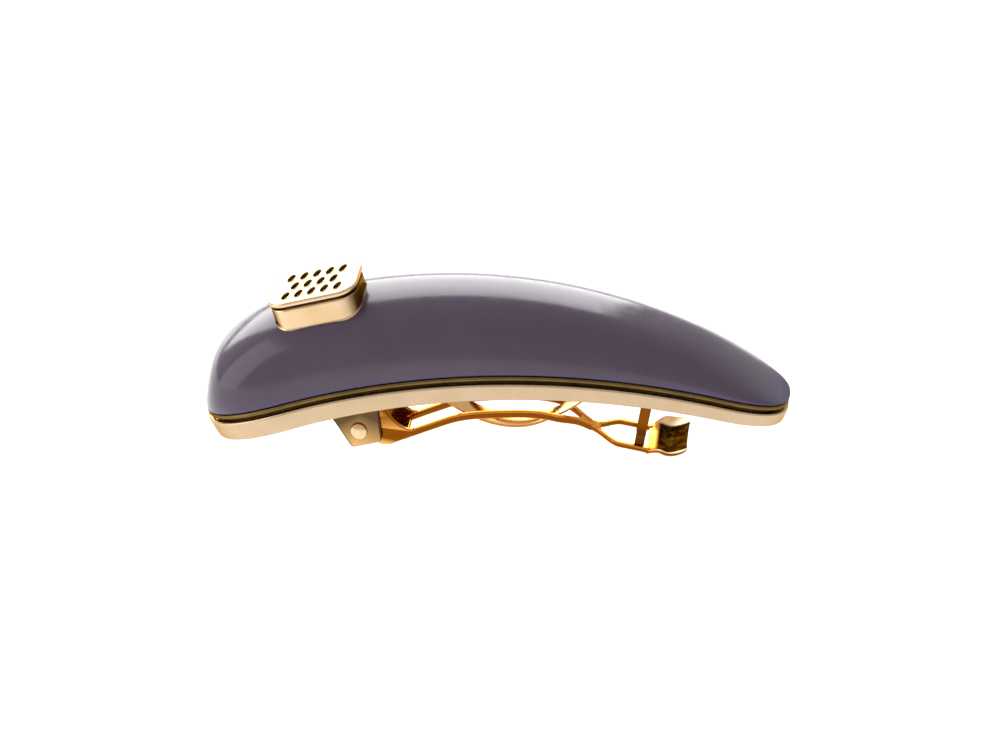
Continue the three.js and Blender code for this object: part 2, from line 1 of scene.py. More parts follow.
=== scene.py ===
"""Looks of a domed, enamelled hair barrette in a gilt band, with its badge and sprung clasp.

Every piece is drawn flat in arc coordinates (s, y, n), in millimetres: s runs along the bent top
edge of the band, y across it, and n along the arc's normal. A Geometry Nodes tree then bends the
piece onto the arc and puts it in the frame's place.
"""

import json
import math

import bmesh
import bpy
from mathutils import Matrix, Vector


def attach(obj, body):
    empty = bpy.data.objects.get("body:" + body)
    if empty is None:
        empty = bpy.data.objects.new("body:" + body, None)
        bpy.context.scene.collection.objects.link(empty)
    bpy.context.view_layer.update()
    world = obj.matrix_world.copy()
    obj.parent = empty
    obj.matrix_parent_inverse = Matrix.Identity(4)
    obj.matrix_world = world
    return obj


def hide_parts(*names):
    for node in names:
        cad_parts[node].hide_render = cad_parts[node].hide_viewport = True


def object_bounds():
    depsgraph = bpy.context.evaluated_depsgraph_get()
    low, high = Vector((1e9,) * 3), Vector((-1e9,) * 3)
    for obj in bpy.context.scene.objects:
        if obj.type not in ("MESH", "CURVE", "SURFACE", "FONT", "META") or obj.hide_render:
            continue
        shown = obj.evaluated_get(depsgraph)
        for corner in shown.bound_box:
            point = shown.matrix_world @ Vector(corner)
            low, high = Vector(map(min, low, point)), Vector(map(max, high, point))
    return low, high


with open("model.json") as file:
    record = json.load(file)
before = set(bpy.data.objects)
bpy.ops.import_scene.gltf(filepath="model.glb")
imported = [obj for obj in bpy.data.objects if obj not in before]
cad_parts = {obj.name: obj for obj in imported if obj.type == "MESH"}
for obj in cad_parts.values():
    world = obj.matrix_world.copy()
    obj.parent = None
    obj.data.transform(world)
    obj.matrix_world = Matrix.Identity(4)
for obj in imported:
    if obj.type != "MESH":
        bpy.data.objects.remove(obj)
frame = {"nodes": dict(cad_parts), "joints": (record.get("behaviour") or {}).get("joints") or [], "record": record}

bl_info = {
    "name": "Enamel barrette",
    "version": (1, 0, 0),
    "blender": (4, 5, 0),
    "location": "3D View > Sidebar > Barrette",
    "description": "Builds the shown pieces, finishes and stage of an enamelled hair barrette",
    "category": "Object",
}

CAD_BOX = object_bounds()
MM = 0.001

# The arc and the ornament's outline.
ARC_RADIUS = 108.0
HALF_LENGTH = 44.9
WIDEST_AT = -25.0
MAX_HALF_WIDTH = 11.7
WIDTH_LOSS = 4.6
WIDTH_POWER = 2.4
WIDE_END_FROM = -30.0
WIDE_END_POWER = 2.2
NARROW_END_FROM = 34.0
NARROW_END_POWER = 2.6
STATIONS = 150
SHARP_FROM = math.radians(42)

# The band: a wall round the outline, with a shelf inside for the dome and a seat for the plate.
BAND_HEIGHT = 2.6
BAND_TAPER = 0.0105
BAND_WALL = 0.6
BAND_ROUNDING = 0.3
BAND_BULGE = 0.02
SHELF_DEPTH = 0.7
SHELF_WIDTH = 1.9
PLATE_SEAT = 1.2
PLATE_THICKNESS = 0.6
GAP = 0.15

# The bezel wire, which lies in the groove between the band and the enamel.
BEAD_INSET = 0.75
BEAD_HEIGHT = 0.75
BEAD_RADIUS = 0.4
BEAD_SIDES = 16

# The shallow panel pressed into the back plate: how deep it is, how far in its step lies, and
# the half widths between which it starts and reaches its depth.
PANEL_DEPTH = 0.12
PANEL_STEP = (1.0, 1.8)
PANEL_STARTS = (1.5, 3.5)
PANEL_COLUMNS = 24

# The enamel dome: its crest rises and falls along s, and its section is a squarish arch. The
# wide end leans inwards a little, by END_LEAN of its height.
ENAMEL_BASE = 1.25
ENAMEL_INSET = 0.45
ENAMEL_THICKNESS = 0.9
ENAMEL_RISE = 10.65
ENAMEL_FALL = 10.4
FALL_POWER = 2.2
TALLEST_AT = -26.0
CREST_WIDE_POWER = 1.9
CREST_NARROW_FROM = 30.0
CREST_NARROW_POWER = 2
LEAST_RISE = 0.05
END_LEAN = 0.5
LEAN_FROM = -38.0
SECTION_POWER = 2.3
DOME_COLUMNS = 56
DOME_EDGE = 0.18

# The badge: its box stands on the dome, and a neck and a gap part it from the lid.
BADGE_AT = -22.6
BADGE_ACROSS = -1.4
BADGE_LENGTH = 13.8
BADGE_WIDTH = 10.8
BADGE_CORNER = 3.0
BADGE_WALL = 0.9
BADGE_TOP = 14.85
LID_THICKNESS = 0.7
BOX_TOP = BADGE_TOP - LID_THICKNESS - GAP
POCKET_DEPTH = 1.0
FOOT_INSETS = (5.1, 4, 3, 2, 1, 0.4)
FOOT_LIFT = 0.02
FOOT_EDGE = ((0.05, 0.0), (0.1, 0.05), (0.16, 0.14), (0.2, 0.3))
WALL_INSET = 0.2
SHOULDER_RADIUS = 0.3
NECK_HEIGHT = 0.35
NECK_INSET = 0.55
LID_LOWER_EDGE = 0.12
LID_UPPER_EDGE = 0.32
HOLE_COLUMNS = 5
HOLE_ROWS = 3
HOLE_SIDES = 28
LIP_RADIUS = 0.09
LIP_SIDES = 8

# The clasp's base strip, with its ears for the pin and its staples for the bow.
BASE_THICKNESS = 0.8
BASE_HALF_WIDTH = 4.2
BASE_END = 27.6
BASE_ROUNDING = 2.4
EAR_THICKNESS = 0.7
STAPLE_WALL = 0.5
STAPLE_SPAN = (0.4, 1.8)
PRESSED_EDGE = 0.18

# The hinge pin and the base's rivets. A lathe's profile stops ON_AXIS short of the axis.
PIN_AT = (-22.5, -9.2)
PIN_RADIUS = 0.75
PIN_HEAD_RADIUS = 1.35
PIN_RIM = 0.12
RIVET_AT = -17.5
RIVET_HEAD_RADIUS = 1.5
RIVET_RADIUS = 0.8
RIVET_LENGTH = 1.6
RIVET_RIM = 0.15
HEAD_RISE = 0.55
HEAD_STEPS = 8
ON_AXIS = 1e-4

# The arm: flanges and web at the hinge, rails to the neck, the loop and the thumb tab.
FLANGE_HALF_WIDTH = 3.3
FLANGE_THICKNESS = 0.7
FLANGE_RADIUS = 1.95
WEB_FROM = -19.4
WEB_TO = -15.0
WEB_TOP = (-12.1, -11.2)
WEB_RISE_LENGTH = 6.4
WEB_THICKNESS = 0.6
RAIL_START = -16.0
RAIL_WIDTH = 1.0
RAIL_HEIGHT = 1.1
LOOP_RAIL_HEIGHT = 0.8
NARROWS_FROM = 9.5
NECK_AT = 16.0
NECK_HALF_WIDTH = 1.1
LOOP_WIDE_AT = 21.0
LOOP_END = 26.4
LOOP_HALF_WIDTH = 3.95
TAB_START = LOOP_END - 0.8
TAB_WIDENS_FROM = TAB_START - 0.4
TAB_WIDE_AT = 29.0
TAB_ROUND_FROM = 29.4
TAB_ROUNDING = 2.6
TAB_RISES_FROM = 28.8
TAB_END = 32.0
TAB_HALF_WIDTH = 5.6
TAB_THICKNESS = 0.7
TAB_FLOOR = -12.4
TAB_END_RISE = 1.6
TAB_SIDE_RISE = 1.4
TAB_DRAFT = 0.12
ARM_LINE = (
    (RAIL_START, -12.0), (-10.7, -10.8), (-5.6, -9.7), (1, -9.35), (8, -9.35),
    (12.8, -10.4), (NECK_AT, -11.8), (19, -12.3), (LOOP_END, -12.55),
)

# The tension bow, a parabola between its two feet.
BOW_HALF_WIDTH = 2.0
BOW_TIP_HALF_WIDTH = 1.4
BOW_TAPER = (5, 11)
BOW_THICKNESS = 0.4
BOW_LOWEST = (3.0, -12.1)
BOW_CURVE = 0.0385
FOOT_LENGTH = 2.4

# The catch: the saddle plate and its two jaws.
CATCH_AT = 24.2
JAW_LENGTH = 1.6
JAW_THICKNESS = 0.5
SADDLE_THICKNESS = 0.6
SADDLE_BEFORE = 2.2
SADDLE_AFTER = 2.4
SADDLE_HALF_WIDTH = 2.9

# The stage: the floor's half length and the soft boxes in metres and watts, and how far the
# camera's aim lies from the middle of the barrette, in millimetres.
FLOOR_REACH = 2.5
WORLD_STRENGTH = 0.65
SOFT_BOXES = {
    "back_box": ((-0.3, 0.8, 0.45), (1.1, 0.8), 12.5),
    "left_box": ((-0.8, -0.2, 0.3), (0.6, 0.9), 2.5),
}
AIM_OFFSET = (0.66, 0, -1.26)
SENSOR_WIDTH = 36.0
NEAREST_SEEN = 0.01


def arc_point(s, n):
    """The point of the level arc at s and n, in metres."""
    angle, radius = s / ARC_RADIUS, ARC_RADIUS + n
    return Vector((radius * math.sin(angle), 0, radius * math.cos(angle) - ARC_RADIUS)) * MM


def record_entry(rows, name):
    return next(row for row in rows if row["name"] == name)


# The frame's own lid axis and hinge point say how the arc is turned and where it lies.
LID_AXIS = record_entry(frame["record"]["mounts"], "lid_face")["axis"]
LID_TILT = math.atan2(LID_AXIS[0], LID_AXIS[2])
PITCH = LID_TILT - BADGE_AT / ARC_RADIUS
HINGE = Vector(record_entry(frame["joints"], "arm_hinge")["pos_m"])
TURN = Matrix.Rotation(PITCH, 3, "Y")
PLACE = HINGE - TURN @ arc_point(*PIN_AT)
LID_PLACE = TURN @ arc_point(BADGE_AT, BADGE_TOP) + PLACE + Vector((0, BADGE_ACROSS * MM, 0))


def linear(code):
    """An sRGB hex colour as the linear numbers that nodes and properties hold."""
    parts = [int(code[i : i + 2], 16) / 255 for i in (1, 3, 5)]
    return tuple(c / 12.92 if c <= 0.04045 else ((c + 0.055) / 1.055) ** 2.4 for c in parts)


def rgba(colour):
    return (*colour[:3], 1.0)


def per_mm(size):
    """The texture scale whose features are size millimetres across."""
    return 1 / (size * MM)


def clamp(value, low=0.0, high=1.0):
    return max(low, min(high, value))


def lerp(a, b, share):
    return a + (b - a) * share


def smoothstep(value, low, high):
    share = clamp((value - low) / (high - low))
    return share * share * (3 - 2 * share)


def steps(count):
    """count + 1 numbers from 0 to 1."""
    return [k / count for k in range(count + 1)]


def quarter_turn(count):
    """count + 1 angles from 0 to a quarter turn."""
    return [math.pi / 2 * t for t in steps(count)]


# The ornament's outline and heights, as functions of s.


def round_off(s, start, end, power):
    """1 before start, falling to 0 at end, as a rounded end does."""
    along = clamp((s - start) / (end - start))
    return (1 - along**power) ** (1 / power)


def half_width(s):
    along = max(0, (s - WIDEST_AT) / (HALF_LENGTH - WIDEST_AT))
    side = MAX_HALF_WIDTH - WIDTH_LOSS * along**WIDTH_POWER
    wide_end = round_off(s, WIDE_END_FROM, -HALF_LENGTH, WIDE_END_POWER)
    return side * wide_end * round_off(s, NARROW_END_FROM, HALF_LENGTH, NARROW_END_POWER)


def enamel_rise(s):
    along = max(0, (s - TALLEST_AT) / (HALF_LENGTH - TALLEST_AT))
    crest = ENAMEL_RISE - ENAMEL_FALL * along**FALL_POWER
    wide_end = round_off(s, TALLEST_AT, -HALF_LENGTH, CREST_WIDE_POWER)
    return crest * wide_end * round_off(s, CREST_NARROW_FROM, HALF_LENGTH, CREST_NARROW_POWER)


def lean_at(s, n):
    """How far the dome's wide end leans inwards at height n."""
    along = clamp((LEAN_FROM - s) / (LEAN_FROM + HALF_LENGTH))
    return END_LEAN * along**2 * max(0, n - ENAMEL_BASE)


def enamel_top(s, y):
    """The height of the enamel's surface."""
    across = clamp(abs(y) / (half_width(s) - ENAMEL_INSET))
    return ENAMEL_BASE + enamel_rise(s) * (1 - across**SECTION_POWER) ** (1 / SECTION_POWER)


def band_bottom(s):
    return -(BAND_HEIGHT - BAND_TAPER * s)


def base_top(s):
    return band_bottom(s) - GAP


def base_bottom(s):
    return base_top(s) - BASE_THICKNESS


def station(k):
    return -HALF_LENGTH * math.cos(math.pi * k / STATIONS)


def outline(k, inset):
    """(s, y) of one side of the outline at station k, moved inwards by inset."""
    s = station(k)
    if k in (0, STATIONS):
        return s - math.copysign(inset, s), 0.0
    before, after = station(k - 1), station(k + 1)
    slope = Vector((after - before, half_width(after) - half_width(before))).normalized()
    return s + slope.y * inset, half_width(s) - slope.x * inset


# Mesh building: flat pieces in millimetres.


def finished(build):
    """A mesh from the bmesh, with its doubles merged and its faces turned outwards."""
    bmesh.ops.remove_doubles(build, verts=build.verts, dist=1e-8)
    bmesh.ops.recalc_face_normals(build, faces=build.faces)
    mesh = bpy.data.meshes.new("flat")
    build.to_mesh(mesh)
    build.free()
    return mesh


def loft(sections, loop=False):
    """A closed skin through sections of equally many points; the ends are capped."""
    build = bmesh.new()
    rows = [[build.verts.new(Vector(p) * MM) for p in section] for section in sections]
    nexts = rows[1:] + rows[:1] if loop else rows[1:]
    count = len(rows[0])
    for row, after in zip(rows, nexts):
        for k in range(count):
            m = (k + 1) % count
            build.faces.new((row[k], row[m], after[m], after[k]))
    if not loop:
        build.faces.new(rows[0])
        build.faces.new(rows[-1])
    return finished(build)


def ring(section):
    """A closed ring swept round the outline; section(s) lists (inset, n) points."""
    rounds = []
    for i in range(2 * STATIONS):
        k, side = (i, 1) if i <= STATIONS else (2 * STATIONS - i, -1)
        rounds.append([])
        for inset, n in section(station(k)):
            s, y = outline(k, inset)
            rounds[-1].append((s, side * y, n))
    return loft(rounds, loop=True)


def corner(centre, radius, start, end, count=4):
    """Points on a quarter turn, angles in quarter turns."""
    turns = [math.pi / 2 * lerp(start, end, t) for t in steps(count)]
    return [(centre[0] + radius * math.cos(a), centre[1] + radius * math.sin(a)) for a in turns]


def rounded_box(low, high, radius, count=3):
    """A rectangle's outline with rounded corners, from corner low to corner high."""
    radius = min(radius, (high[0] - low[0]) * 0.49, (high[1] - low[1]) * 0.49)
    x0, y0, x1, y1 = low[0] + radius, low[1] + radius, high[0] - radius, high[1] - radius
    points = []
    for turn, centre in enumerate(((x1, y0), (x1, y1), (x0, y1), (x0, y0))):
        points += corner(centre, radius, turn - 1, turn, count)
    return points


def strip(start, end, count, size, radius):
    """A strip along s with rounded edges; size(s) gives (y low, y high, n low, n high)."""
    turns = quarter_turn(3)
    rounding = [(radius * (1 - math.sin(a)), radius * (1 - math.cos(a))) for a in turns]
    stops = [(start + ds, inset) for ds, inset in reversed(rounding)]
    stops += [(lerp(start + radius, end - radius, t), 0) for t in steps(count)[1:-1]]
    stops += [(end - ds, inset) for ds, inset in rounding]
    sections = []
    for s, inset in stops:
        y0, y1, n0, n1 = size(s)
        inset = min(inset, (y1 - y0) * 0.4, (n1 - n0) * 0.4)
        box = rounded_box((y0 + inset, n0 + inset), (y1 - inset, n1 - inset), radius - inset * 0.8)
        sections.append([(s, y, n) for y, n in box])
    return loft(sections)


def pressed(points, depth, place, rounding):
    """A pressed sheet: an outline with a depth and rounded edges, whose points place puts."""
    build = bmesh.new()
    rows = [[build.verts.new((x, z, level)) for x, z in points] for level in (0, depth)]
    count = len(points)
    for k in range(count):
        m = (k + 1) % count
        build.faces.new((rows[0][k], rows[0][m], rows[1][m], rows[1][k]))
    build.faces.new(rows[0])
    build.faces.new(rows[1])
    bmesh.ops.recalc_face_normals(build, faces=build.faces)
    turned = math.radians(20)
    edges = [edge for edge in build.edges if edge.calc_face_angle(0) > turned]
    bmesh.ops.bevel(
        build, geom=edges, offset=rounding, segments=3, affect="EDGES", clamp_overlap=True
    )
    for vertex in build.verts:
        vertex.co = Vector(place(*vertex.co)) * MM
    return finished(build)


def lathe(profile, sides=32):
    """The sections of a body turned about the Z axis, from (radius, height) points."""
    angles = [2 * math.pi * k / sides for k in range(sides)]
    return [[(r * math.cos(a), r * math.sin(a), z) for a in angles] for r, z in profile]


def weld(meshes):
    """One closed mesh from several overlapping ones."""
    objects = [bpy.data.objects.new("part", mesh) for mesh in meshes]
    for made in objects:
        bpy.context.scene.collection.objects.link(made)
    for other in objects[1:]:
        union = objects[0].modifiers.new("weld", "BOOLEAN")
        union.operation = "UNION"
        union.solver = "EXACT"
        union.object = other
    depsgraph = bpy.context.evaluated_depsgraph_get()
    joined = bpy.data.meshes.new_from_object(objects[0].evaluated_get(depsgraph))
    for made in objects:
        bpy.data.objects.remove(made)
    return joined


# Node trees.

# The inputs that every Geometry Nodes tree ends its list with.
PLACING = {"Turn": "Vector", "Place": "Vector", "Material": "Material"}


def add(tree, kind, inputs=None, **settings):
    """Adds a node with its settings; an input takes a value, a socket or a list of sockets."""
    made = tree.nodes.new(kind)
    for key, value in settings.items():
        setattr(made, key, value)
    for key, value in (inputs or {}).items():
        for source in value if isinstance(value, list) else [value]:
            if isinstance(source, bpy.types.NodeSocket):
                tree.links.new(source, made.inputs[key])
            else:
                made.inputs[key].default_value = source
    return made


def new_geometry_tree(name, sockets):
    """A Geometry Nodes tree with its named inputs; returns the tree and its input node."""
    tree = bpy.data.node_groups.new(name, "GeometryNodeTree")
    for way in ("OUTPUT", "INPUT"):
        tree.interface.new_socket("Geometry", in_out=way, socket_type="NodeSocketGeometry")
    for title, kind in {**sockets, **PLACING}.items():
        tree.interface.new_socket(title, in_out="INPUT", socket_type="NodeSocket" + kind)
    return tree, add(tree, "NodeGroupInput")


def end_geometry_tree(tree, given, geometry):
    """Ends a tree: realizes the instances and sets the material."""
    real = add(tree, "GeometryNodeRealizeInstances", {"Geometry": geometry})
    painted = add(
        tree, "GeometryNodeSetMaterial",
        {"Geometry": real.outputs[0], "Material": given.outputs["Material"]},
    )
    add(tree, "NodeGroupOutput", {"Geometry": painted.outputs[0]})


def keep_flat(tree, geometry):
    """Stores each point's flat position and facing, which the finishes' patterns follow."""
    kinds = {"flat": "GeometryNodeInputPosition", "facing": "GeometryNodeInputNormal"}
    for name, kind in kinds.items():
        value = add(tree, kind).outputs[0]
        geometry = add(
            tree, "GeometryNodeStoreNamedAttribute",
            {"Geometry": geometry, "Name": name, "Value": value},
            data_type="FLOAT_VECTOR", domain="POINT",
        ).outputs[0]
    return geometry


def put_in_place(tree, given, geometry):
    """Turns the geometry and moves it to its place."""
    turn, place = given.outputs["Turn"], given.outputs["Place"]
    inputs = {"Geometry": geometry, "Rotation": turn, "Translation": place}
    return add(tree, "GeometryNodeTransform", inputs).outputs[0]


def bending_tree():
    """Bends flat geometry onto the arc, then turns and moves it to its place."""
    tree, given = new_geometry_tree("arc_bend", {"Radius": "Float"})
    kept = keep_flat(tree, given.outputs["Geometry"])
    position = add(tree, "GeometryNodeInputPosition").outputs[0]
    flat = add(tree, "ShaderNodeSeparateXYZ", {0: position}).outputs
    radius = given.outputs["Radius"]
    angle = add(tree, "ShaderNodeMath", {0: flat["X"], 1: radius}, operation="DIVIDE").outputs[0]
    reach = add(tree, "ShaderNodeMath", {0: flat["Z"], 1: radius}, operation="ADD").outputs[0]
    sine = add(tree, "ShaderNodeMath", {0: angle}, operation="SINE").outputs[0]
    cosine = add(tree, "ShaderNodeMath", {0: angle}, operation="COSINE").outputs[0]
    along = add(tree, "ShaderNodeMath", {0: reach, 1: sine}, operation="MULTIPLY").outputs[0]
    high = add(tree, "ShaderNodeMath", {0: reach, 1: cosine}, operation="MULTIPLY").outputs[0]
    level = add(tree, "ShaderNodeMath", {0: high, 1: radius}, operation="SUBTRACT").outputs[0]
    curved = add(tree, "ShaderNodeCombineXYZ", {"X": along, "Y": flat["Y"], "Z": level}).outputs[0]
    moved = add(tree, "GeometryNodeSetPosition", {"Geometry": kept, "Position": curved}).outputs[0]
    end_geometry_tree(tree, given, put_in_place(tree, given, moved))
    return tree


def shared_bend():
    """The bending tree, made when it is first asked for."""
    return bpy.data.node_groups.get("arc_bend") or bending_tree()


def bend(tree, given, geometry):
    """Bends and places the geometry through the shared bending tree."""
    inputs = {key: given.outputs[key] for key in ("Radius", *PLACING)}
    inputs["Geometry"] = geometry
    return add(tree, "GeometryNodeGroup", inputs, node_tree=shared_bend()).outputs[0]


def run_tree(tree, mesh, values, name):
    """A plain mesh object: mesh after the tree, with the tree's named inputs set."""
    source = bpy.data.objects.new(name + "_source", mesh)
    bpy.context.scene.collection.objects.link(source)
    modifier = source.modifiers.new("tree", "NODES")
    modifier.node_group = tree
    for item in tree.interface.items_tree:
        if item.in_out == "INPUT" and item.name in values:
            modifier[item.identifier] = values[item.name]
    depsgraph = bpy.context.evaluated_depsgraph_get()
    made = bpy.data.meshes.new_from_object(source.evaluated_get(depsgraph))
    bpy.data.objects.remove(source)
    made.shade_smooth()
    made.set_sharp_from_angle(angle=SHARP_FROM)
    made.name = name
    piece = bpy.data.objects.new(name, made)
    bpy.context.scene.collection.objects.link(piece)
    return piece


def arc_values(material):
    """The inputs that bend a piece onto the arc and give it its finish."""
    return {
        "Radius": ARC_RADIUS * MM,
        "Turn": (0.0, PITCH, 0.0),
        "Place": tuple(PLACE),
        "Material": bpy.data.materials[material],
    }


def bent_piece(name, mesh, material):
    """A piece bent onto the arc."""
    return run_tree(shared_bend(), mesh, arc_values(material), name)


def settle(piece, body, slot, *nodes):
    """The piece rides on body and stands for the nodes; slot is not used."""
    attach(piece, body)
    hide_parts(*nodes)


# Ornament.


def enamel_mesh():
    """The hollow dome: its outer surface, its rounded lower edge and its inner surface."""
    inner_inset = ENAMEL_INSET + ENAMEL_THICKNESS
    sections = []
    for k in range(STATIONS + 1):
        rise = enamel_rise(station(k))
        section = []
        for inset, lift, height, order in (
            (ENAMEL_INSET, DOME_EDGE, rise, 1), (inner_inset, 0, rise - ENAMEL_THICKNESS, -1),
        ):
            s, y = outline(k, inset)
            edge = k in (0, STATIONS)
            height = 0 if edge else max(height - lift, LEAST_RISE)
            curve = []
            for t in steps(DOME_COLUMNS):
                angle = math.pi * t
                across = abs(math.cos(angle)) ** (2 / SECTION_POWER)
                across = math.copysign(across, math.cos(angle))
                up = abs(math.sin(angle)) ** (2 / SECTION_POWER)
                n = ENAMEL_BASE + lift + height * up
                curve.append((s + lean_at(s, n), y * across, n))
            if lift:
                s, y = outline(k, inset + lift)
                curve = [(s, y, ENAMEL_BASE), *curve, (s, -y, ENAMEL_BASE)]
            section += curve[::order]
        sections.append(section)
    return loft(sections)


def band_section(s):
    """The band's section as (inset, n) points: a slightly full outer face with rounded edges."""
    bottom, r = band_bottom(s), BAND_ROUNDING
    under = bottom + PLATE_THICKNESS + 2 * GAP
    face = [(2 * r - x, n) for x, n in corner((r, bottom + r), r, -1, 0)]
    for t in steps(6)[1:-1]:
        face.append((-BAND_BULGE * math.sin(math.pi * t) ** 2, lerp(bottom + r, -r, t)))
    face += [(2 * r - x, n) for x, n in corner((r, -r), r, 0, 1)]
    inner = [
        (BAND_WALL, 0), (BAND_WALL, -SHELF_DEPTH), (SHELF_WIDTH, -SHELF_DEPTH),
        (SHELF_WIDTH, under), (PLATE_SEAT, under), (PLATE_SEAT, bottom),
    ]
    return face + inner


def bead_tree():
    """A round wire along a path."""
    sockets = {"Wire radius": "Float", "Sides": "Int", "Radius": "Float"}
    tree, given = new_geometry_tree("bezel_wire_sweep", sockets)
    path = add(tree, "GeometryNodeMeshToCurve", {"Mesh": given.outputs["Geometry"]})
    profile = add(
        tree, "GeometryNodeCurvePrimitiveCircle",
        {"Radius": given.outputs["Wire radius"], "Resolution": given.outputs["Sides"]},
    )
    swept = add(
        tree, "GeometryNodeCurveToMesh",
        {"Curve": path.outputs[0], "Profile Curve": profile.outputs["Curve"]},
    )
    end_geometry_tree(tree, given, bend(tree, given, swept.outputs[0]))
    return tree


def bead_path():
    """The bezel wire's path as a closed chain of edges."""
    build = bmesh.new()
    points = []
    for i in range(2 * STATIONS):
        k, side = (i, 1) if i <= STATIONS else (2 * STATIONS - i, -1)
        s, y = outline(k, BEAD_INSET)
        points.append(build.verts.new(Vector((s, side * y, BEAD_HEIGHT)) * MM))
    for point, after in zip(points, points[1:] + points[:1]):
        build.edges.new((point, after))
    mesh = bpy.data.meshes.new("flat")
    build.to_mesh(mesh)
    build.free()
    return mesh


def back_cover_mesh():
    """The back plate, with a shallow pressed panel inside its flat rim."""
    sections = []
    for k in range(STATIONS + 1):
        s, y = outline(k, PLATE_SEAT + GAP)
        bottom = band_bottom(s) + GAP
        across = [1 - 2 * t for t in steps(PANEL_COLUMNS)]
        depth = PANEL_DEPTH * smoothstep(abs(y), *PANEL_STARTS)
        pressings = [depth * smoothstep((1 - abs(a)) * abs(y), *PANEL_STEP) for a in across]
        lower = [(s, y * a, bottom + pressing) for a, pressing in zip(across, pressings)]
        upper = [(s, y * a, bottom + PLATE_THICKNESS) for a in reversed(across)]
        sections.append(lower + upper)
    return loft(sections)


# Badge.


def cushion(inset, count=8):
    """The badge's outline with cushion corners, as (x, y) points about its middle."""
    x, y = BADGE_LENGTH / 2 - inset, BADGE_WIDTH / 2 - inset
    return rounded_box((-x, -y), (x, y), max(BADGE_CORNER - inset, 0.3), count)


def badge_point(x, y, n):
    """Puts a point of the badge's level plane into arc coordinates."""
    level = arc_point(BADGE_AT, n) / MM
    angle = BADGE_AT / ARC_RADIUS
    across = Vector((math.cos(angle), 0, -math.sin(angle)))
    point = level + across * x
    radius = math.hypot(point.x, point.z + ARC_RADIUS)
    s = ARC_RADIUS * math.atan2(point.x, point.z + ARC_RADIUS)
    return s, y + BADGE_ACROSS, radius - ARC_RADIUS


def badge_body_mesh():
    """The badge's box: it follows the dome underneath; a neck below the lid and an open pocket."""
    feet = [(inset, FOOT_LIFT) for inset in FOOT_INSETS] + list(FOOT_EDGE)
    sections = [[on_dome(x, y, lift) for x, y in cushion(inset)] for inset, lift in feet]
    shoulder, pocket, r = BOX_TOP - NECK_HEIGHT, BOX_TOP - POCKET_DEPTH, SHOULDER_RADIUS
    rows = []
    for turn in quarter_turn(4):
        rows.append((WALL_INSET + r * (1 - math.cos(turn)), shoulder - r + r * math.sin(turn)))
    rows += [(NECK_INSET, BOX_TOP), (BADGE_WALL, BOX_TOP), (BADGE_WALL, pocket), (5, pocket)]
    sections += [[badge_point(x, y, n) for x, y in cushion(inset)] for inset, n in rows]
    return loft(sections)


def on_dome(x, y, lift):
    """A point lift above the enamel, below the badge's point (x, y)."""
    s, y, _ = badge_point(x, y, BOX_TOP - 2)
    return s, y, enamel_top(s, y) + lift


def lid_mesh():
    """The lid before its perforations: a cushion plate with a soft upper edge, its top at z = 0."""
    lower, upper = LID_LOWER_EDGE, LID_UPPER_EDGE
    rows = [(4.5, -LID_THICKNESS), (1.5, -LID_THICKNESS)]
    for turn in quarter_turn(3):
        rows.append((lower * (1 - math.sin(turn)), lower * (1 - math.cos(turn)) - LID_THICKNESS))
    for turn in quarter_turn(6):
        rows.append((upper * (1 - math.cos(turn)), upper * (math.sin(turn) - 1)))
    rows += [(0.8, 0), (1.1, 0), (4.5, 0)]
    return loft([[(x, y, z) for x, y in cushion(inset)] for inset, z in rows])


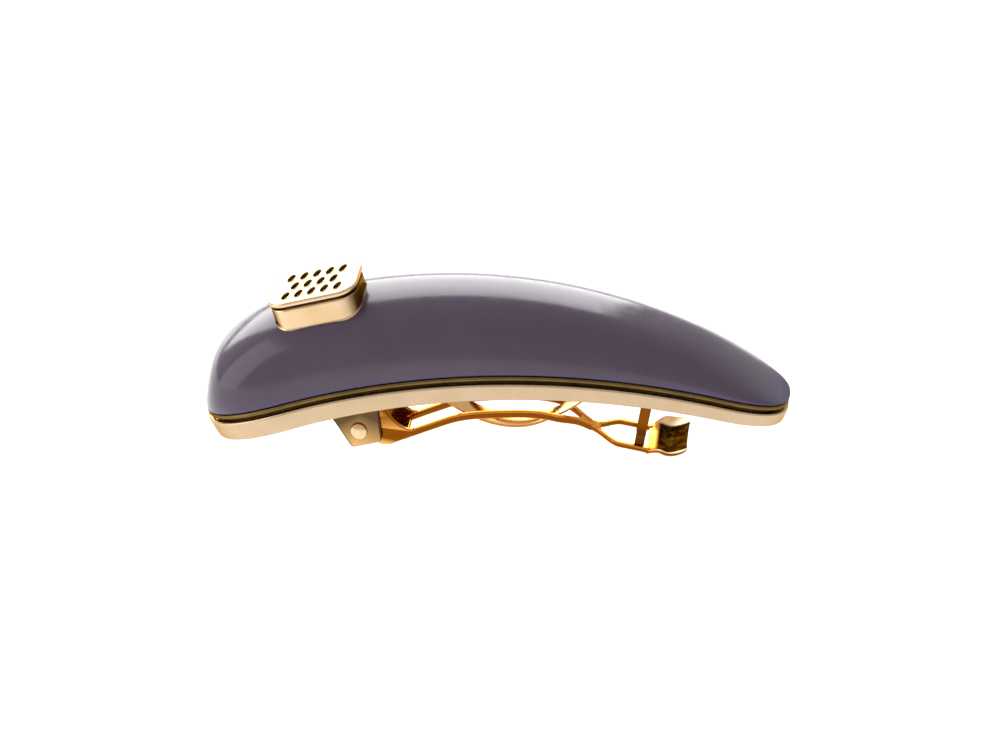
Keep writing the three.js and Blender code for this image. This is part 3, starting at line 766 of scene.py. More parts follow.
def perforation_tree():
    """Cuts staggered, slanted holes into a plate, gives each a fine lip, and places the plate."""
    sockets = {
        "Hole pitch": "Float", "Row pitch": "Float", "Hole size": "Vector", "Slant": "Vector",
        "Lip": "Float", "Columns": "Int",
    }
    tree, given = new_geometry_tree("perforations", sockets)
    pitch, columns = given.outputs["Hole pitch"], given.outputs["Columns"]
    size, slant = given.outputs["Hole size"], given.outputs["Slant"]
    spaces = add(tree, "ShaderNodeMath", {0: columns, 1: 1}, operation="SUBTRACT").outputs[0]
    width = add(tree, "ShaderNodeMath", {0: spaces, 1: pitch}, operation="MULTIPLY").outputs[0]
    rows = {0: given.outputs["Row pitch"], 1: HOLE_ROWS - 1}
    height = add(tree, "ShaderNodeMath", rows, operation="MULTIPLY").outputs[0]
    grid = add(
        tree, "GeometryNodeMeshGrid",
        {"Size X": width, "Size Y": height, "Vertices X": columns, "Vertices Y": HOLE_ROWS},
    )
    position = add(tree, "GeometryNodeInputPosition").outputs[0]
    place = add(tree, "ShaderNodeSeparateXYZ", {0: position}).outputs
    # The middle row moves half a pitch over, and loses the hole that this puts outside.
    off_middle = add(tree, "ShaderNodeMath", {0: place["Y"]}, operation="ABSOLUTE").outputs[0]
    near_middle = {"A": off_middle, "B": 0.1 * MM}
    middle = add(tree, "FunctionNodeCompare", near_middle, operation="LESS_THAN").outputs[0]
    half = add(tree, "ShaderNodeMath", {0: pitch, 1: 0.5}, operation="MULTIPLY").outputs[0]
    shift = add(tree, "ShaderNodeCombineXYZ", {"X": half}).outputs[0]
    staggered = add(
        tree, "GeometryNodeSetPosition",
        {"Geometry": grid.outputs["Mesh"], "Selection": middle, "Offset": shift},
    )
    limit = add(tree, "ShaderNodeMath", {0: width, 1: 0.55}, operation="MULTIPLY").outputs[0]
    past_limit = {"A": place["X"], "B": limit}
    outside = add(tree, "FunctionNodeCompare", past_limit, operation="GREATER_THAN").outputs[0]
    points = add(
        tree, "GeometryNodeDeleteGeometry",
        {"Geometry": staggered.outputs[0], "Selection": outside}, domain="POINT",
    )
    cutter = add(
        tree, "GeometryNodeMeshCylinder", {"Vertices": HOLE_SIDES, "Radius": 0.5, "Depth": 2.0}
    )
    circle = add(
        tree, "GeometryNodeCurvePrimitiveCircle", {"Resolution": HOLE_SIDES, "Radius": 0.5}
    )
    oval = add(tree, "GeometryNodeTransform", {"Geometry": circle.outputs["Curve"], "Scale": size})
    wire = add(
        tree, "GeometryNodeCurvePrimitiveCircle",
        {"Resolution": LIP_SIDES, "Radius": given.outputs["Lip"]},
    )
    lip = add(
        tree, "GeometryNodeCurveToMesh",
        {"Curve": oval.outputs[0], "Profile Curve": wire.outputs["Curve"]},
    )
    common = {"Points": points.outputs[0], "Rotation": slant}
    cutters = add(
        tree, "GeometryNodeInstanceOnPoints",
        {**common, "Instance": cutter.outputs["Mesh"], "Scale": size},
    )
    lips = add(tree, "GeometryNodeInstanceOnPoints", {**common, "Instance": lip.outputs[0]})
    real = add(tree, "GeometryNodeRealizeInstances", {"Geometry": cutters.outputs[0]})
    holed = add(
        tree, "GeometryNodeMeshBoolean",
        {"Mesh 1": given.outputs["Geometry"], "Mesh 2": real.outputs[0]},
        operation="DIFFERENCE", solver="EXACT",
    )
    whole = [holed.outputs["Mesh"], lips.outputs[0]]
    joined = add(tree, "GeometryNodeJoinGeometry", {"Geometry": whole})
    merged = add(tree, "GeometryNodeRealizeInstances", {"Geometry": joined.outputs[0]})
    kept = keep_flat(tree, merged.outputs[0])
    end_geometry_tree(tree, given, put_in_place(tree, given, kept))
    return tree


# Clasp.


def on_side(y):
    """A placer for pressed sheets that stand along the arc: (s, n, depth) from y."""
    return lambda s, n, depth: (s, y + depth, n)


def bezier(start, control, end, count=5):
    """Points after start on a quadratic curve to end."""
    points = []
    for t in steps(count)[1:]:
        a, b, c = (1 - t) ** 2, 2 * t * (1 - t), t * t
        points.append(tuple(a * start[i] + b * control[i] + c * end[i] for i in (0, 1)))
    return points


def ear_outline():
    points = [(-27.2, -3.1), (-25.9, -7.0), (-24.7, -11.4)]
    points += bezier(points[-1], (-24.5, -11.75), (-24.0, -11.75))
    points.append((-19.9, -11.75))
    points += bezier(points[-1], (-19.4, -11.7), (-19.2, -11.2))
    return points + [(-18.7, -7.0), (-17.4, -3.1)]


def bow_ends():
    """s at each end of the bow, feet included."""
    rise = base_bottom(0) - GAP - BOW_LOWEST[1] - BOW_THICKNESS
    span = math.sqrt(rise / BOW_CURVE)
    return BOW_LOWEST[0] - span - FOOT_LENGTH, BOW_LOWEST[0] + span + FOOT_LENGTH


def box_part(start, end, y_low, y_high, n_low, n_high, radius=0.12):
    return strip(start, end, 4, lambda s: (y_low, y_high, n_low, n_high), radius)


def staple_parts(start, end):
    """A staple that holds one of the bow's feet: a floor and two cheeks."""
    reach, wall = BOW_HALF_WIDTH + GAP, STAPLE_WALL
    ceiling = base_bottom((start + end) / 2)
    floor = ceiling - BOW_THICKNESS - 2 * GAP
    parts = [box_part(start, end, -reach - wall, reach + wall, floor - wall, floor)]
    for low, high in ((-reach - wall, -reach), (reach, reach + wall)):
        parts.append(box_part(start, end, low, high, floor - wall, ceiling + 0.3))
    return parts


def base_mesh():
    """The clasp's base strip with its two ears and two staples."""

    def size(s):
        edge = BASE_HALF_WIDTH * round_off(abs(s), BASE_END - 2, BASE_END + 0.4, BASE_ROUNDING)
        return -edge, edge, base_bottom(s), base_top(s)

    parts = [strip(-BASE_END, BASE_END, 60, size, 0.2)]
    for y in (-BASE_HALF_WIDTH, BASE_HALF_WIDTH - EAR_THICKNESS):
        parts.append(pressed(ear_outline(), EAR_THICKNESS, on_side(y), PRESSED_EDGE))
    left, right = bow_ends()
    near, far = STAPLE_SPAN
    parts += staple_parts(left + near, left + far)
    parts += staple_parts(right - far, right - near)
    return weld(parts)


def arm_middle(s):
    """The middle height of the arm's rails: a smooth curve through ARM_LINE."""
    last = len(ARM_LINE) - 1
    i = next((k for k in range(last) if s <= ARM_LINE[k + 1][0]), last - 1)
    (s1, n1), (s2, n2) = ARM_LINE[i], ARM_LINE[i + 1]
    s0, n0 = ARM_LINE[max(i - 1, 0)]
    s3, n3 = ARM_LINE[min(i + 2, last)]
    slope1, slope2 = (n2 - n0) / (s2 - s0), (n3 - n1) / (s3 - s1)
    t, span = (s - s1) / (s2 - s1), s2 - s1
    return (
        (2 * t**3 - 3 * t**2 + 1) * n1
        + (t**3 - 2 * t**2 + t) * span * slope1
        + (3 * t**2 - 2 * t**3) * n2
        + (t**3 - t**2) * span * slope2
    )


def arm_edge(s):
    """The outer edge of the arm's rails, its neck and its loop."""
    rails = lerp(FLANGE_HALF_WIDTH, NECK_HALF_WIDTH, smoothstep(s, NARROWS_FROM, NECK_AT))
    loop = smoothstep(s, NECK_AT, LOOP_WIDE_AT) * (LOOP_HALF_WIDTH - NECK_HALF_WIDTH)
    return rails + loop


def rail(side, start, end, count, height):
    def size(s):
        outer, middle = arm_edge(s), arm_middle(s)
        y = sorted((side * outer, side * (outer - RAIL_WIDTH)))
        return *y, middle - height / 2, middle + height / 2

    return strip(start, end, count, size, 0.32)


def flange_outline():
    angles = [math.pi * lerp(1.05, 0.6, t) for t in steps(7)]
    (s, n), r = PIN_AT, FLANGE_RADIUS
    points = [(s + r * math.cos(a), n + r * math.sin(a)) for a in angles]
    points += [(-20.6, -6.3), (-17.6, -6.0)]
    points += bezier(points[-1], (-17.1, -10.2), (-13.8, -11.0), 7)
    return points + [(-14.0, -12.0), (-18.4, -12.9), (-19.6, -12.7)]


def tab_mesh():
    """The dished thumb tab with its rolled rim."""
    sections = []
    for t in steps(40):
        s = lerp(TAB_START, TAB_END, t)
        widened = smoothstep(s, TAB_WIDENS_FROM, TAB_WIDE_AT)
        edge = lerp(LOOP_HALF_WIDTH, TAB_HALF_WIDTH, widened)
        edge *= round_off(s, TAB_ROUND_FROM, TAB_END + 0.7, TAB_ROUNDING)
        end = TAB_END_RISE * smoothstep(s, TAB_RISES_FROM, TAB_END + 0.6)
        raised = smoothstep(s, TAB_WIDENS_FROM, TAB_WIDE_AT - 1) * TAB_SIDE_RISE
        upper = []
        for a in steps(28):
            share = 1 - 2 * a
            n = TAB_FLOOR + raised * abs(share) ** 3 * (1 - end / 3) + end
            upper.append((s, edge * share, n))
        draft = 1 - TAB_DRAFT / max(edge, 1)
        inner = [(x, y * draft, n - TAB_THICKNESS) for x, y, n in reversed(upper)]
        side = [(s, -edge - 0.1, upper[-1][2] - TAB_THICKNESS / 2)]
        other = [(s, edge + 0.1, upper[0][2] - TAB_THICKNESS / 2)]
        sections.append(upper + side + inner + other)
    return loft(sections)


def arm_mesh():
    """The arm: two flanges and a web at the hinge, two rails, a neck, a loop and the thumb tab."""
    parts = []
    for y in (-FLANGE_HALF_WIDTH, FLANGE_HALF_WIDTH - FLANGE_THICKNESS):
        parts.append(pressed(flange_outline(), FLANGE_THICKNESS, on_side(y), PRESSED_EDGE))

    def web(s):
        top = lerp(*WEB_TOP, (s - WEB_FROM) / WEB_RISE_LENGTH)
        reach = FLANGE_HALF_WIDTH - 0.1
        return -reach, reach, top - WEB_THICKNESS, top

    def neck(s):
        return -0.8, 0.8, arm_middle(s) - 0.4, arm_middle(s) + 0.4

    parts.append(strip(WEB_FROM, WEB_TO, 8, web, 0.15))
    parts.append(strip(NECK_AT - 2, NECK_AT + 1.5, 8, neck, 0.15))
    for side in (-1, 1):
        parts.append(rail(side, RAIL_START, NECK_AT, 60, RAIL_HEIGHT))
        parts.append(rail(side, NECK_AT - 0.6, LOOP_END, 30, LOOP_RAIL_HEIGHT))
    parts.append(tab_mesh())
    return weld(parts)


def bow_mesh():
    start, end = bow_ends()

    def size(s):
        top = BOW_LOWEST[1] + BOW_THICKNESS + BOW_CURVE * (s - BOW_LOWEST[0]) ** 2
        top = min(top, base_bottom(s) - GAP)
        edge = lerp(BOW_HALF_WIDTH, BOW_TIP_HALF_WIDTH, smoothstep(s, *BOW_TAPER))
        return -edge, edge, top - BOW_THICKNESS, top

    return strip(start, end, 120, size, 0.12)


def jaw_outline(side):
    root = base_bottom(CATCH_AT) - SADDLE_THICKNESS - 2 * GAP
    points = [
        (2.3, root), (1.9, root - 2), (1.9, root - 4.5), (2.2, -11.3), (2.85, -12.0),
        (2.75, -12.8), (2.3, -13.0), (1.6, -12.7), (1.75, -11.4),
        (1.9 - JAW_THICKNESS, root - 4.5), (1.9 - JAW_THICKNESS, root - 2), (1.75, root),
    ]
    return [(side * y, n) for y, n in points]


def jaw_mesh(side):
    start = CATCH_AT - JAW_LENGTH / 2
    return pressed(jaw_outline(side), JAW_LENGTH, lambda y, n, depth: (start + depth, y, n), 0.1)


def domed_head(radius, base, rise):
    """(radius, height) points from a riveted head's rim to its top."""
    turns = quarter_turn(HEAD_STEPS)[1:]
    return [(max(radius * math.cos(a), ON_AXIS), base + rise * math.sin(a)) for a in turns]


def saddle_mesh(top):
    """The saddle plate under the catch, its upper face at n = top."""
    start, end = CATCH_AT - SADDLE_BEFORE, CATCH_AT + SADDLE_AFTER
    half, bottom = SADDLE_HALF_WIDTH, top - SADDLE_THICKNESS
    return box_part(start, end, -half, half, bottom, top, PRESSED_EDGE)


def pin_mesh():
    """The hinge pin, riveted over at both ends, along y."""
    outside = BASE_HALF_WIDTH + GAP / 2
    half = [(PIN_RADIUS, outside), (PIN_HEAD_RADIUS, outside)]
    half += domed_head(PIN_HEAD_RADIUS, outside + PIN_RIM, HEAD_RISE)
    sections = lathe([(r, -y) for r, y in reversed(half)] + half)
    return loft([[(PIN_AT[0] + x, z, PIN_AT[1] + y) for x, y, z in row] for row in sections])


def rivet_mesh():
    """A domed rivet head below z = 0 with its shank above."""
    shank = [(ON_AXIS, RIVET_LENGTH), (RIVET_RADIUS, RIVET_LENGTH), (RIVET_RADIUS, 0)]
    head = [(RIVET_HEAD_RADIUS, 0), *domed_head(RIVET_HEAD_RADIUS, -RIVET_RIM, -HEAD_RISE)]
    return loft(lathe(shank + head))


def rivet_tree():
    """Sets one rivet at each point of the input, then bends the whole onto the arc."""
    tree, given = new_geometry_tree("rivet_set", {"Rivet": "Object", "Radius": "Float"})
    rivet = add(tree, "GeometryNodeObjectInfo", {"Object": given.outputs["Rivet"]})
    rivets = add(
        tree, "GeometryNodeInstanceOnPoints",
        {"Points": given.outputs["Geometry"], "Instance": rivet.outputs["Geometry"]},
    )
    real = add(tree, "GeometryNodeRealizeInstances", {"Geometry": rivets.outputs[0]})
    end_geometry_tree(tree, given, bend(tree, given, real.outputs[0]))
    return tree


# Finishes.


def new_material(name, colour):
    """A node material with its base colour; returns its tree and its shader."""
    material = bpy.data.materials.new(name)
    material.use_nodes = True
    shader = material.node_tree.nodes["Principled BSDF"]
    shader.inputs["Base Color"].default_value = rgba(colour)
    return material.node_tree, shader


def surface_place(tree, flat):
    """Where a pattern is read: the flat position of a bent piece, or an object's coordinates."""
    if flat:
        return add(tree, "ShaderNodeAttribute", attribute_name="flat").outputs["Vector"]
    return add(tree, "ShaderNodeTexCoord").outputs["Object"]


def stored(tree, name, axis, size_only=False):
    """One axis of a vector that keep_flat stored, with or without its sign."""
    vector = add(tree, "ShaderNodeAttribute", attribute_name=name).outputs["Vector"]
    value = add(tree, "ShaderNodeSeparateXYZ", {0: vector}).outputs[axis]
    if size_only:
        value = add(tree, "ShaderNodeMath", {0: value}, operation="ABSOLUTE").outputs[0]
    return value


def mottle(tree, place, size, detail=3.0, stretch=(1, 1, 1)):
    """A cloudy pattern whose features are size millimetres across, stretched per axis."""
    scale = tuple(per_mm(size) / k for k in stretch)
    mapped = add(tree, "ShaderNodeMapping", {"Vector": place, "Scale": scale}).outputs[0]
    clouds = {"Vector": mapped, "Scale": 1.0, "Detail": detail, "Roughness": 0.6}
    return add(tree, "ShaderNodeTexNoise", clouds).outputs["Fac"]


def blended(tree, pattern, window, first, second, most=1.0):
    """The first colour where the pattern is at window[0], and most of the second at window[1];
    each is a colour or a socket."""
    share = add(
        tree, "ShaderNodeMapRange",
        {"Value": pattern, "From Min": window[0], "From Max": window[1], "To Max": most},
    ).outputs[0]
    sides = [c if isinstance(c, bpy.types.NodeSocket) else rgba(c) for c in (first, second)]
    inputs = {"Factor": share, 6: sides[0], 7: sides[1]}
    return add(tree, "ShaderNodeMix", inputs, data_type="RGBA").outputs[2]


def overlay(tree, shader, pattern, window, colour, most=1.0):
    """Lays a colour over the base colour, from none at window[0] to most at window[1]."""
    base = shader.inputs["Base Color"]
    under = base.links[0].from_socket if base.is_linked else tuple(base.default_value)
    tree.links.new(blended(tree, pattern, window, under, colour, most), base)


def vary_gloss(tree, shader, pattern, window, smooth, rough):
    """The roughness goes from smooth to rough over the window of the pattern."""
    ends = {"From Min": window[0], "From Max": window[1], "To Min": smooth, "To Max": rough}
    value = add(tree, "ShaderNodeMapRange", {"Value": pattern, **ends}).outputs[0]
    tree.links.new(value, shader.inputs["Roughness"])


def metal(name, face, shade, roughness, polish, sides=None, flat=True, hairline=0.06):
    """A metal whose tone varies over millimetres, with fine polishing hairlines along the piece
    and raised edges rubbed brighter. Where sides is given, faces that point sideways, such as a
    strip's cut sides, take that darker colour as painted shade."""
    tree, shader = new_material(name, face)
    place = surface_place(tree, flat)
    cloud = mottle(tree, place, 5.0, 4.0)
    overlay(tree, shader, cloud, (0.35, 0.7), shade, 0.55)
    edge = add(tree, "ShaderNodeNewGeometry").outputs["Pointiness"]
    bright = tuple(min(1.0, c * 1.15 + 0.03) for c in face[:3])
    overlay(tree, shader, edge, (0.52, 0.6), bright, 0.5)
    # Hairlines are really about 0.01 mm apart; they are drawn coarser so that they show.
    lines = mottle(tree, place, hairline, 2.0, (14, 1, 1))
    vary_gloss(tree, shader, lines, (0.3, 0.75), roughness - polish, roughness + polish)
    shader.inputs["Metallic"].default_value = 1.0
    shader.inputs["Specular Tint"].default_value = rgba(linear("#D9C09A"))
    relief = add(
        tree, "ShaderNodeBump", {"Height": lines, "Strength": 0.25, "Distance": 0.01 * MM}
    )
    tree.links.new(relief.outputs[0], shader.inputs["Normal"])
    if sides:
        # Painted shade: faces that point sideways darken towards the sides colour.
        overlay(tree, shader, stored(tree, "facing", "Z", True), (0.75, 0.25), sides)
    return tree, shader


def make_metals():
    # Polished pale gold over brass: light and clean, with soft reflections.
    metal("pale_gold_plating", linear("#E2C49C"), linear("#CFAE84"), 0.26, 0.05)
    # Gold plating coloured dark olive as a painted reflection of the dark enamel beside the bead, between brighter
    # parts.
    metal("antique_gold_plating", linear("#7C6438"), linear("#4C3C22"), 0.32, 0.08)
    # Gold plating on punched strip: warm on the flats, and brown on faces that point sideways, which is painted
    # shade.
    metal(
        "brown_gold_plating", linear("#E0B070"), linear("#B98A4C"), 0.26, 0.07, linear("#5C472F")
    )
    # Rolled spring steel with a thin flash of gold: a smooth, bright strip, amber on faces that point sideways,
    # which is painted shade.
    metal(
        "gold_flashed_spring_steel", linear("#F0CB90"), linear("#CDA468"), 0.22, 0.08,
        linear("#B98440"),
    )
    # Bare brass as it leaves the press: a dull yellow with coarse drawing lines.
    metal(
        "pressed_brass", linear("#B59A5C"), linear("#7D6636"), 0.45, 0.1, flat=False, hairline=0.2
    )
    # Spring steel coloured by hardening: a satin grey-brown.
    metal(
        "blued_spring_steel", linear("#8E8478"), linear("#5C554E"), 0.35, 0.08,
        flat=False, hairline=0.1,
    )


def make_band_finish(settings):
    """Satin-polished pale gold on the band, with painted shade: browner on the turned-under edge below."""
    tree, shader = metal("pale_gold_band", settings.gilt_colour, linear("#BEA27E"), 0.26, 0.05)
    # Painted shade: faces that point downwards turn browner.
    overlay(tree, shader, stored(tree, "facing", "Z"), (-0.3, -0.75), linear("#9A7C5A"))


def make_badge_finish():
    """Bright pale gold on the badge's box, with painted shade: brown round its ends and dark at its neck."""
    tree, shader = metal("pale_gold_badge", linear("#E2C49C"), linear("#D2AA78"), 0.2, 0.05)
    # Painted shade: the box's ends, which face along the barrette, turn brown.
    overlay(tree, shader, stored(tree, "facing", "X", True), (0.45, 0.85), linear("#6E4A2E"))
    # Painted shade: the recessed neck under the lid is laid near black.
    neck_shade_from = (BOX_TOP - NECK_HEIGHT + 0.01) * MM
    neck = (neck_shade_from, neck_shade_from + 0.1 * MM)
    overlay(tree, shader, stored(tree, "flat", "Z"), neck, linear("#24170C"))


def make_arm_finish(settings):
    """Warm gold plating on the arm, with painted shade on its sideways faces. The thumb dish is
    dull, painted dark and mottled as a reflection, inside a rim painted with a near white highlight."""
    # Painted shade: the arm's faces that point sideways take a dark amber.
    tree, shader = metal(
        "warm_gold_arm", settings.clasp_colour, linear("#D98F35"), 0.2, 0.07, linear("#7E450C")
    )
    # Painted reflection: the dish is laid dark with mottled blots, standing in for the dark underside it reflects.
    reflection_blots = mottle(tree, surface_place(tree, True), 1.4, 4.0)
    dark = blended(tree, reflection_blots, (0.45, 0.62), linear("#060302"), linear("#3A2E1C"))
    on_tab, on_top, at_rim = (
        add(tree, "ShaderNodeMapRange", {"Value": value, "From Min": low, "From Max": high})
        for value, low, high in (
            (stored(tree, "flat", "X"), 26.6 * MM, 27.4 * MM),
            (stored(tree, "facing", "Z"), 0.35, 0.6),
            (stored(tree, "flat", "Y", True), 3.9 * MM, 4.3 * MM),
        )
    )
    both = {0: on_tab.outputs[0], 1: on_top.outputs[0]}
    dish = add(tree, "ShaderNodeMath", both, operation="MULTIPLY").outputs[0]
    both = {0: dish, 1: at_rim.outputs[0]}
    rim = add(tree, "ShaderNodeMath", both, operation="MULTIPLY").outputs[0]
    overlay(tree, shader, dish, (0, 1), dark)
    # Painted highlight: the dish's rim is laid near white.
    overlay(tree, shader, rim, (0, 1), linear("#F6E6C8"))
    polished = shader.inputs["Roughness"].links[0].from_socket
    dull = add(tree, "ShaderNodeMix", {"Factor": dish, "A": polished, "B": 0.5})
    tree.links.new(dull.outputs[0], shader.inputs["Roughness"])


def make_enamel(settings):
    """Cold enamel, an opaque tinted resin polished to a gloss: deep and wet-looking, with a slight
    swell in its surface, faint clouding in its pigment and a cooler tone low down, painted in as the floor's
    reflection."""
    tree, shader = new_material("grey_violet_enamel", settings.enamel_colour)
    place = surface_place(tree, True)
    cloud = mottle(tree, place, 9.0)
    overlay(tree, shader, cloud, (0.35, 0.7), linear("#473A4A"), 0.6)
    # Painted reflection: low on the dome the colour turns cooler, standing in for the floor's reflection.
    low_on_dome = (2.3 * MM, 1.3 * MM)
    overlay(tree, shader, stored(tree, "flat", "Z"), low_on_dome, settings.floor_reflection_colour, 0.8)
    rub = mottle(tree, place, 1.6, 4.0)
    gloss = settings.enamel_roughness
    vary_gloss(tree, shader, rub, (0.3, 0.8), gloss * 0.7, gloss * 1.5)
    shader.inputs["IOR"].default_value = 1.46
    swell = mottle(tree, place, 7.0, 2.0)
    relief = add(
        tree, "ShaderNodeBump", {"Height": swell, "Strength": 0.3, "Distance": 0.05 * MM}
    )
    tree.links.new(relief.outputs[0], shader.inputs["Normal"])


def make_inlay():
    """Cast dark resin behind the perforations: nearly black brown, with a fine dimpled skin."""
    tree, shader = new_material("dark_resin", linear("#150E0A"))
    grain = mottle(tree, surface_place(tree, False), 0.5)
    overlay(tree, shader, grain, (0, 1), linear("#2A1D14"))
    vary_gloss(tree, shader, grain, (0.3, 0.7), 0.3, 0.5)
    relief = add(
        tree, "ShaderNodeBump", {"Height": grain, "Strength": 0.3, "Distance": 0.02 * MM}
    )
    tree.links.new(relief.outputs[0], shader.inputs["Normal"])


def make_board():
    """White painted board for the floor: matt, with a faint fibre, and lit a little from within so
    that it stays pale at its far end."""
    tree, shader = new_material("white_board", linear("#F7F7F7"))
    fibre = mottle(tree, surface_place(tree, False), 2.0, 2.0)
    overlay(tree, shader, fibre, (0, 1), linear("#FAFAFA"))
    shader.inputs["Roughness"].default_value = 0.9
    shader.inputs["Specular IOR Level"].default_value = 0.1
    shader.inputs["Emission Color"].default_value = (1, 1, 1, 1)
    shader.inputs["Emission Strength"].default_value = 0.3


def area_light(name, place, aim, size, power):
    """A soft box at place, facing aim; size is (width, height) in metres."""
    data = bpy.data.lights.new(name, "AREA")
    data.shape = "RECTANGLE"
    data.size, data.size_y = size
    data.energy = power
    lamp = bpy.data.objects.new(name, data)
    lamp.location = place
    lamp.rotation_mode = "QUATERNION"
    lamp.rotation_quaternion = (Vector(aim) - Vector(place)).to_track_quat("-Z", "Y")
    bpy.context.scene.collection.objects.link(lamp)


class BarretteSettings(bpy.types.PropertyGroup):
    """The sizes and colours that a user would change."""

    enamel_colour: bpy.props.FloatVectorProperty(
        name="Enamel", description="Colour of the dome", subtype="COLOR", size=3,
        default=linear("#504253"),
    )
    # Painted reflection of the floor, laid low on the dome.
    floor_reflection_colour: bpy.props.FloatVectorProperty(
        name="Enamel edge", description="Cooler tone low on the dome", subtype="COLOR", size=3,
        default=linear("#4A4064"),
    )
    enamel_roughness: bpy.props.FloatProperty(
        name="Enamel roughness", description="Softness of the enamel's gloss",
        subtype="FACTOR", default=0.17, min=0.02, max=0.6,
    )
    gilt_colour: bpy.props.FloatVectorProperty(
        name="Pale gilt", description="Plating of the band", subtype="COLOR", size=3,
        default=linear("#C9AF90"),
    )
    clasp_colour: bpy.props.FloatVectorProperty(
        name="Clasp gilt", description="Plating of the arm and jaws", subtype="COLOR", size=3,
        default=linear("#F0AE58"),
    )
    hole_pitch: bpy.props.FloatProperty(
        name="Hole pitch", description="Spacing of the badge's holes", subtype="DISTANCE",
        default=2.0 * MM,
    )
    row_pitch: bpy.props.FloatProperty(
        name="Row pitch", description="Spacing of the rows of holes", subtype="DISTANCE",
        default=2.9 * MM,
    )
    hole_length: bpy.props.FloatProperty(
        name="Hole length", description="Length of each hole", subtype="DISTANCE", default=2.4 * MM,
    )
    hole_width: bpy.props.FloatProperty(
        name="Hole width", description="Width of each hole", subtype="DISTANCE", default=1.25 * MM,
    )
    hole_slant: bpy.props.FloatProperty(
        name="Hole slant", description="Lean of each hole", subtype="ANGLE",
        default=math.radians(14),
    )
    floor_drop: bpy.props.FloatProperty(
        name="Floor drop", description="Room under the barrette for the open arm",
        subtype="DISTANCE", default=52 * MM,
    )
    azimuth: bpy.props.FloatProperty(
        name="Azimuth", description="Camera's turn round the barrette", subtype="ANGLE",
        default=math.radians(6.45),
    )
    elevation: bpy.props.FloatProperty(
        name="Elevation", description="Camera's height above the horizon", subtype="ANGLE",
        default=math.radians(27.9),
    )
    roll: bpy.props.FloatProperty(
        name="Roll", description="Camera's roll", subtype="ANGLE", default=math.radians(-0.96),
    )
    distance: bpy.props.FloatProperty(
        name="Distance", description="Camera to barrette", subtype="DISTANCE", default=0.5,
    )
    lens: bpy.props.FloatProperty(
        name="Lens", description="Focal length in millimetres", unit="CAMERA",
        default=121.2, min=10,
    )


class Finishes(bpy.types.Operator):
    """Make the barrette's finishes"""

    bl_idname = "barrette.finishes"
    bl_label = "Finishes"

    def execute(self, context):
        settings = context.scene.barrette
        make_enamel(settings)
        make_inlay()
        make_arm_finish(settings)
        make_band_finish(settings)
        make_badge_finish()
        make_metals()
        dress = {
            "badge_inlay": "dark_resin",
            "dome_shell": "pressed_brass",
            "badge_post_left": "pressed_brass",
            "badge_post_right": "pressed_brass",
            "push_nut_left": "blued_spring_steel",
            "push_nut_right": "blued_spring_steel",
            "rivet_washer_hinge_end": "pressed_brass",
            "rivet_washer_catch_end": "pressed_brass",
        }
        for node, finish in dress.items():
            frame["nodes"][node].data.materials.clear()
            frame["nodes"][node].data.materials.append(bpy.data.materials[finish])
        return {"FINISHED"}


class Dome(bpy.types.Operator):
    """Make the enamel dome"""

    bl_idname = "barrette.dome"
    bl_label = "Enamel dome"

    def execute(self, context):
        piece = bent_piece("enamel_skin", enamel_mesh(), "grey_violet_enamel")
        settle(piece, "ornament", "enamel", "enamel_dome")
        return {"FINISHED"}


class Band(bpy.types.Operator):
    """Make the band, its bezel wire and the back plate"""

    bl_idname = "barrette.band"
    bl_label = "Band and back"

    def execute(self, context):
        band = bent_piece("gilt_band", ring(band_section), "pale_gold_band")
        settle(band, "ornament", "pale_gilt", "rim_frame")
        back = bent_piece("back_cover", back_cover_mesh(), "pale_gold_plating")
        settle(back, "ornament", "pale_gilt", "back_plate")
        # The bezel wire's dark olive colour is a painted reflection of the enamel beside it.
        values = arc_values("antique_gold_plating")
        values["Wire radius"] = BEAD_RADIUS * MM
        values["Sides"] = BEAD_SIDES
        wire = run_tree(bead_tree(), bead_path(), values, "bezel_bead")
        settle(wire, "ornament", "dark_gilt", "bezel_wire")
        return {"FINISHED"}


class Badge(bpy.types.Operator):
    """Make the badge's box and its perforated lid"""

    bl_idname = "barrette.badge"
    bl_label = "Badge"

    def execute(self, context):
        settings = context.scene.barrette
        body = bent_piece("badge_body", badge_body_mesh(), "pale_gold_badge")
        settle(body, "ornament", "pale_gilt", "badge_box")
        values = {
            "Hole pitch": settings.hole_pitch,
            "Row pitch": settings.row_pitch,
            "Hole size": (settings.hole_width, settings.hole_length, 1.0),
            "Slant": (0.0, 0.0, -settings.hole_slant),
            "Lip": LIP_RADIUS * MM,
            "Columns": HOLE_COLUMNS,
            "Turn": (0.0, LID_TILT, 0.0),
            "Place": tuple(LID_PLACE),
            "Material": bpy.data.materials["pale_gold_plating"],
        }
        lid = run_tree(perforation_tree(), lid_mesh(), values, "badge_cover")
        settle(lid, "ornament", "pale_gilt", "badge_lid")
        return {"FINISHED"}


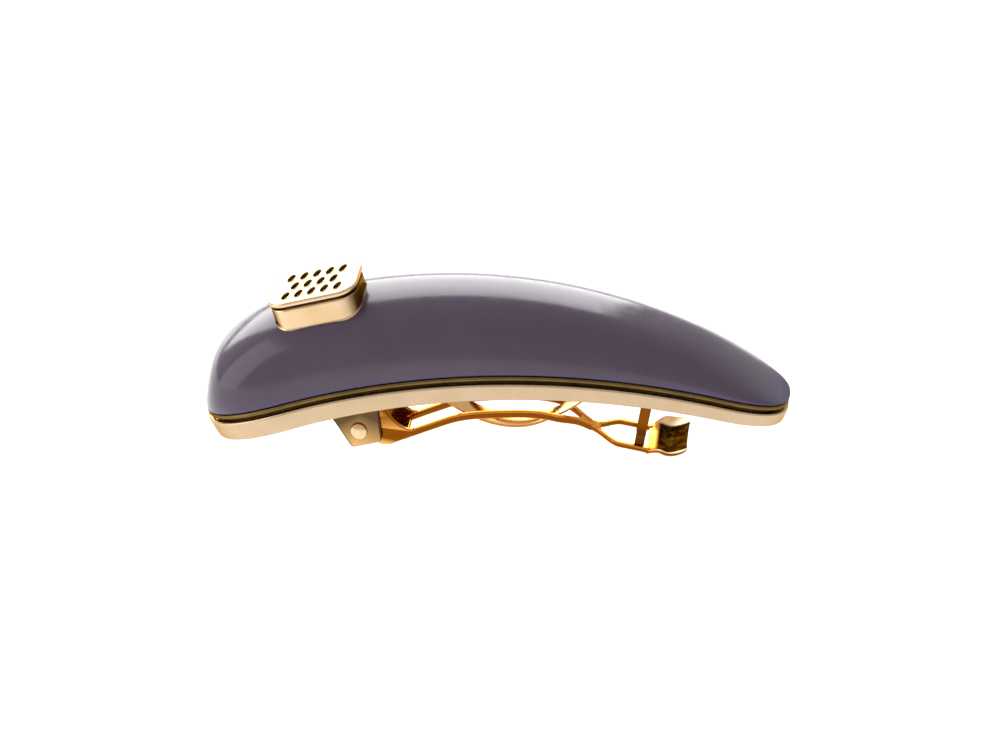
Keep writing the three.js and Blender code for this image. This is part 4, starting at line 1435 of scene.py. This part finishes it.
class ClaspBase(bpy.types.Operator):
    """Make the clasp's base, bow, saddle, pin and rivets"""

    bl_idname = "barrette.clasp_base"
    bl_label = "Clasp base"

    def execute(self, context):
        base = bent_piece("base_strip", base_mesh(), "brown_gold_plating")
        settle(base, "ornament", "clasp_gilt", "clasp_base")
        bow = bent_piece("bow_strip", bow_mesh(), "gold_flashed_spring_steel")
        settle(bow, "ornament", "spring_steel", "tension_bow")
        top = base_bottom(CATCH_AT) - GAP
        saddle = bent_piece("saddle_plate", saddle_mesh(top), "brown_gold_plating")
        settle(saddle, "ornament", "clasp_gilt", "catch_saddle")
        pin = bent_piece("hinge_rivet", pin_mesh(), "pale_gold_plating")
        settle(pin, "ornament", "pale_gilt", "hinge_pin")
        rivet = bpy.data.objects.new("rivet_pattern", rivet_mesh())
        seats = bpy.data.meshes.new("flat")
        heights = (base_bottom(RIVET_AT) - GAP, top - SADDLE_THICKNESS - GAP)
        points = [(s * MM, 0, n * MM) for s, n in zip((RIVET_AT, CATCH_AT), heights)]
        seats.from_pydata(points, [], [])
        values = arc_values("gold_flashed_spring_steel")
        values["Rivet"] = rivet
        rivets = run_tree(rivet_tree(), seats, values, "base_rivets")
        bpy.data.objects.remove(rivet)
        settle(rivets, "ornament", "raw_brass", "base_rivet_hinge_end", "base_rivet_catch_end")
        return {"FINISHED"}


class ClaspArm(bpy.types.Operator):
    """Make the arm and the two catch jaws"""

    bl_idname = "barrette.clasp_arm"
    bl_label = "Clasp arm and jaws"

    def execute(self, context):
        arm = bent_piece("arm_frame", arm_mesh(), "warm_gold_arm")
        settle(arm, "arm", "clasp_gilt", "clasp_arm")
        for side, name in ((-1, "near"), (1, "far")):
            jaw = bent_piece("hook_" + name, jaw_mesh(side), "warm_gold_arm")
            settle(jaw, "jaw_" + name, "clasp_gilt", "catch_jaw_" + name)
        return {"FINISHED"}


class Stage(bpy.types.Operator):
    """Make the floor, the lights and the camera"""

    bl_idname = "barrette.stage"
    bl_label = "Stage"

    def execute(self, context):
        settings = context.scene.barrette
        low, high = CAD_BOX
        middle = (low + high) / 2
        signs = ((-1, -1), (1, -1), (1, 1), (-1, 1))
        corners = [(x * FLOOR_REACH, y * FLOOR_REACH, -settings.floor_drop) for x, y in signs]
        board = bpy.data.meshes.new("floor")
        board.from_pydata(corners, [], [(0, 1, 2, 3)])
        make_board()
        board.materials.append(bpy.data.materials["white_board"])
        floor = bpy.data.objects.new("floor", board)
        context.scene.collection.objects.link(floor)

        world = bpy.data.worlds.new("studio")
        world.use_nodes = True
        world.node_tree.nodes["Background"].inputs["Color"].default_value = (1, 1, 1, 1)
        world.node_tree.nodes["Background"].inputs["Strength"].default_value = WORLD_STRENGTH
        context.scene.world = world
        for name, (place, size, power) in SOFT_BOXES.items():
            area_light(name, place, middle, size, power)

        camera = bpy.data.objects.new("camera", bpy.data.cameras.new("camera"))
        context.scene.collection.objects.link(camera)
        turn, rise = settings.azimuth, settings.elevation
        back = Vector(
            (math.sin(turn) * math.cos(rise), -math.cos(turn) * math.cos(rise), math.sin(rise))
        )
        aim = middle + Vector(AIM_OFFSET) * MM
        camera.location = aim + back * settings.distance
        camera.rotation_mode = "QUATERNION"
        level = (-back).to_track_quat("-Z", "Y")
        camera.rotation_quaternion = level @ Matrix.Rotation(settings.roll, 3, "Z").to_quaternion()
        camera.data.sensor_width = SENSOR_WIDTH
        camera.data.lens = settings.lens
        camera.data.clip_start = NEAREST_SEEN
        context.scene.camera = camera
        context.scene.view_settings.view_transform = "Standard"
        return {"FINISHED"}


class BarrettePanel(bpy.types.Panel):
    """The barrette's operators and settings"""

    bl_idname = "VIEW3D_PT_barrette"
    bl_label = "Enamel barrette"
    bl_space_type = "VIEW_3D"
    bl_region_type = "UI"
    bl_category = "Barrette"

    def draw(self, context):
        for name in BarretteSettings.__annotations__:
            self.layout.prop(context.scene.barrette, name)
        for operator in OPERATORS:
            self.layout.operator(operator.bl_idname)


OPERATORS = (Finishes, Dome, Band, Badge, ClaspBase, ClaspArm, Stage)
CLASSES = (BarretteSettings, *OPERATORS, BarrettePanel)


def register():
    for item in CLASSES:
        bpy.utils.register_class(item)
    bpy.types.Scene.barrette = bpy.props.PointerProperty(type=BarretteSettings)


def unregister():
    del bpy.types.Scene.barrette
    for item in reversed(CLASSES):
        bpy.utils.unregister_class(item)


def main():
    register()
    bpy.ops.barrette.finishes()
    bpy.ops.barrette.dome()
    bpy.ops.barrette.band()
    bpy.ops.barrette.badge()
    bpy.ops.barrette.clasp_base()
    bpy.ops.barrette.clasp_arm()
    bpy.ops.barrette.stage()


if __name__ == "__main__":
    main()
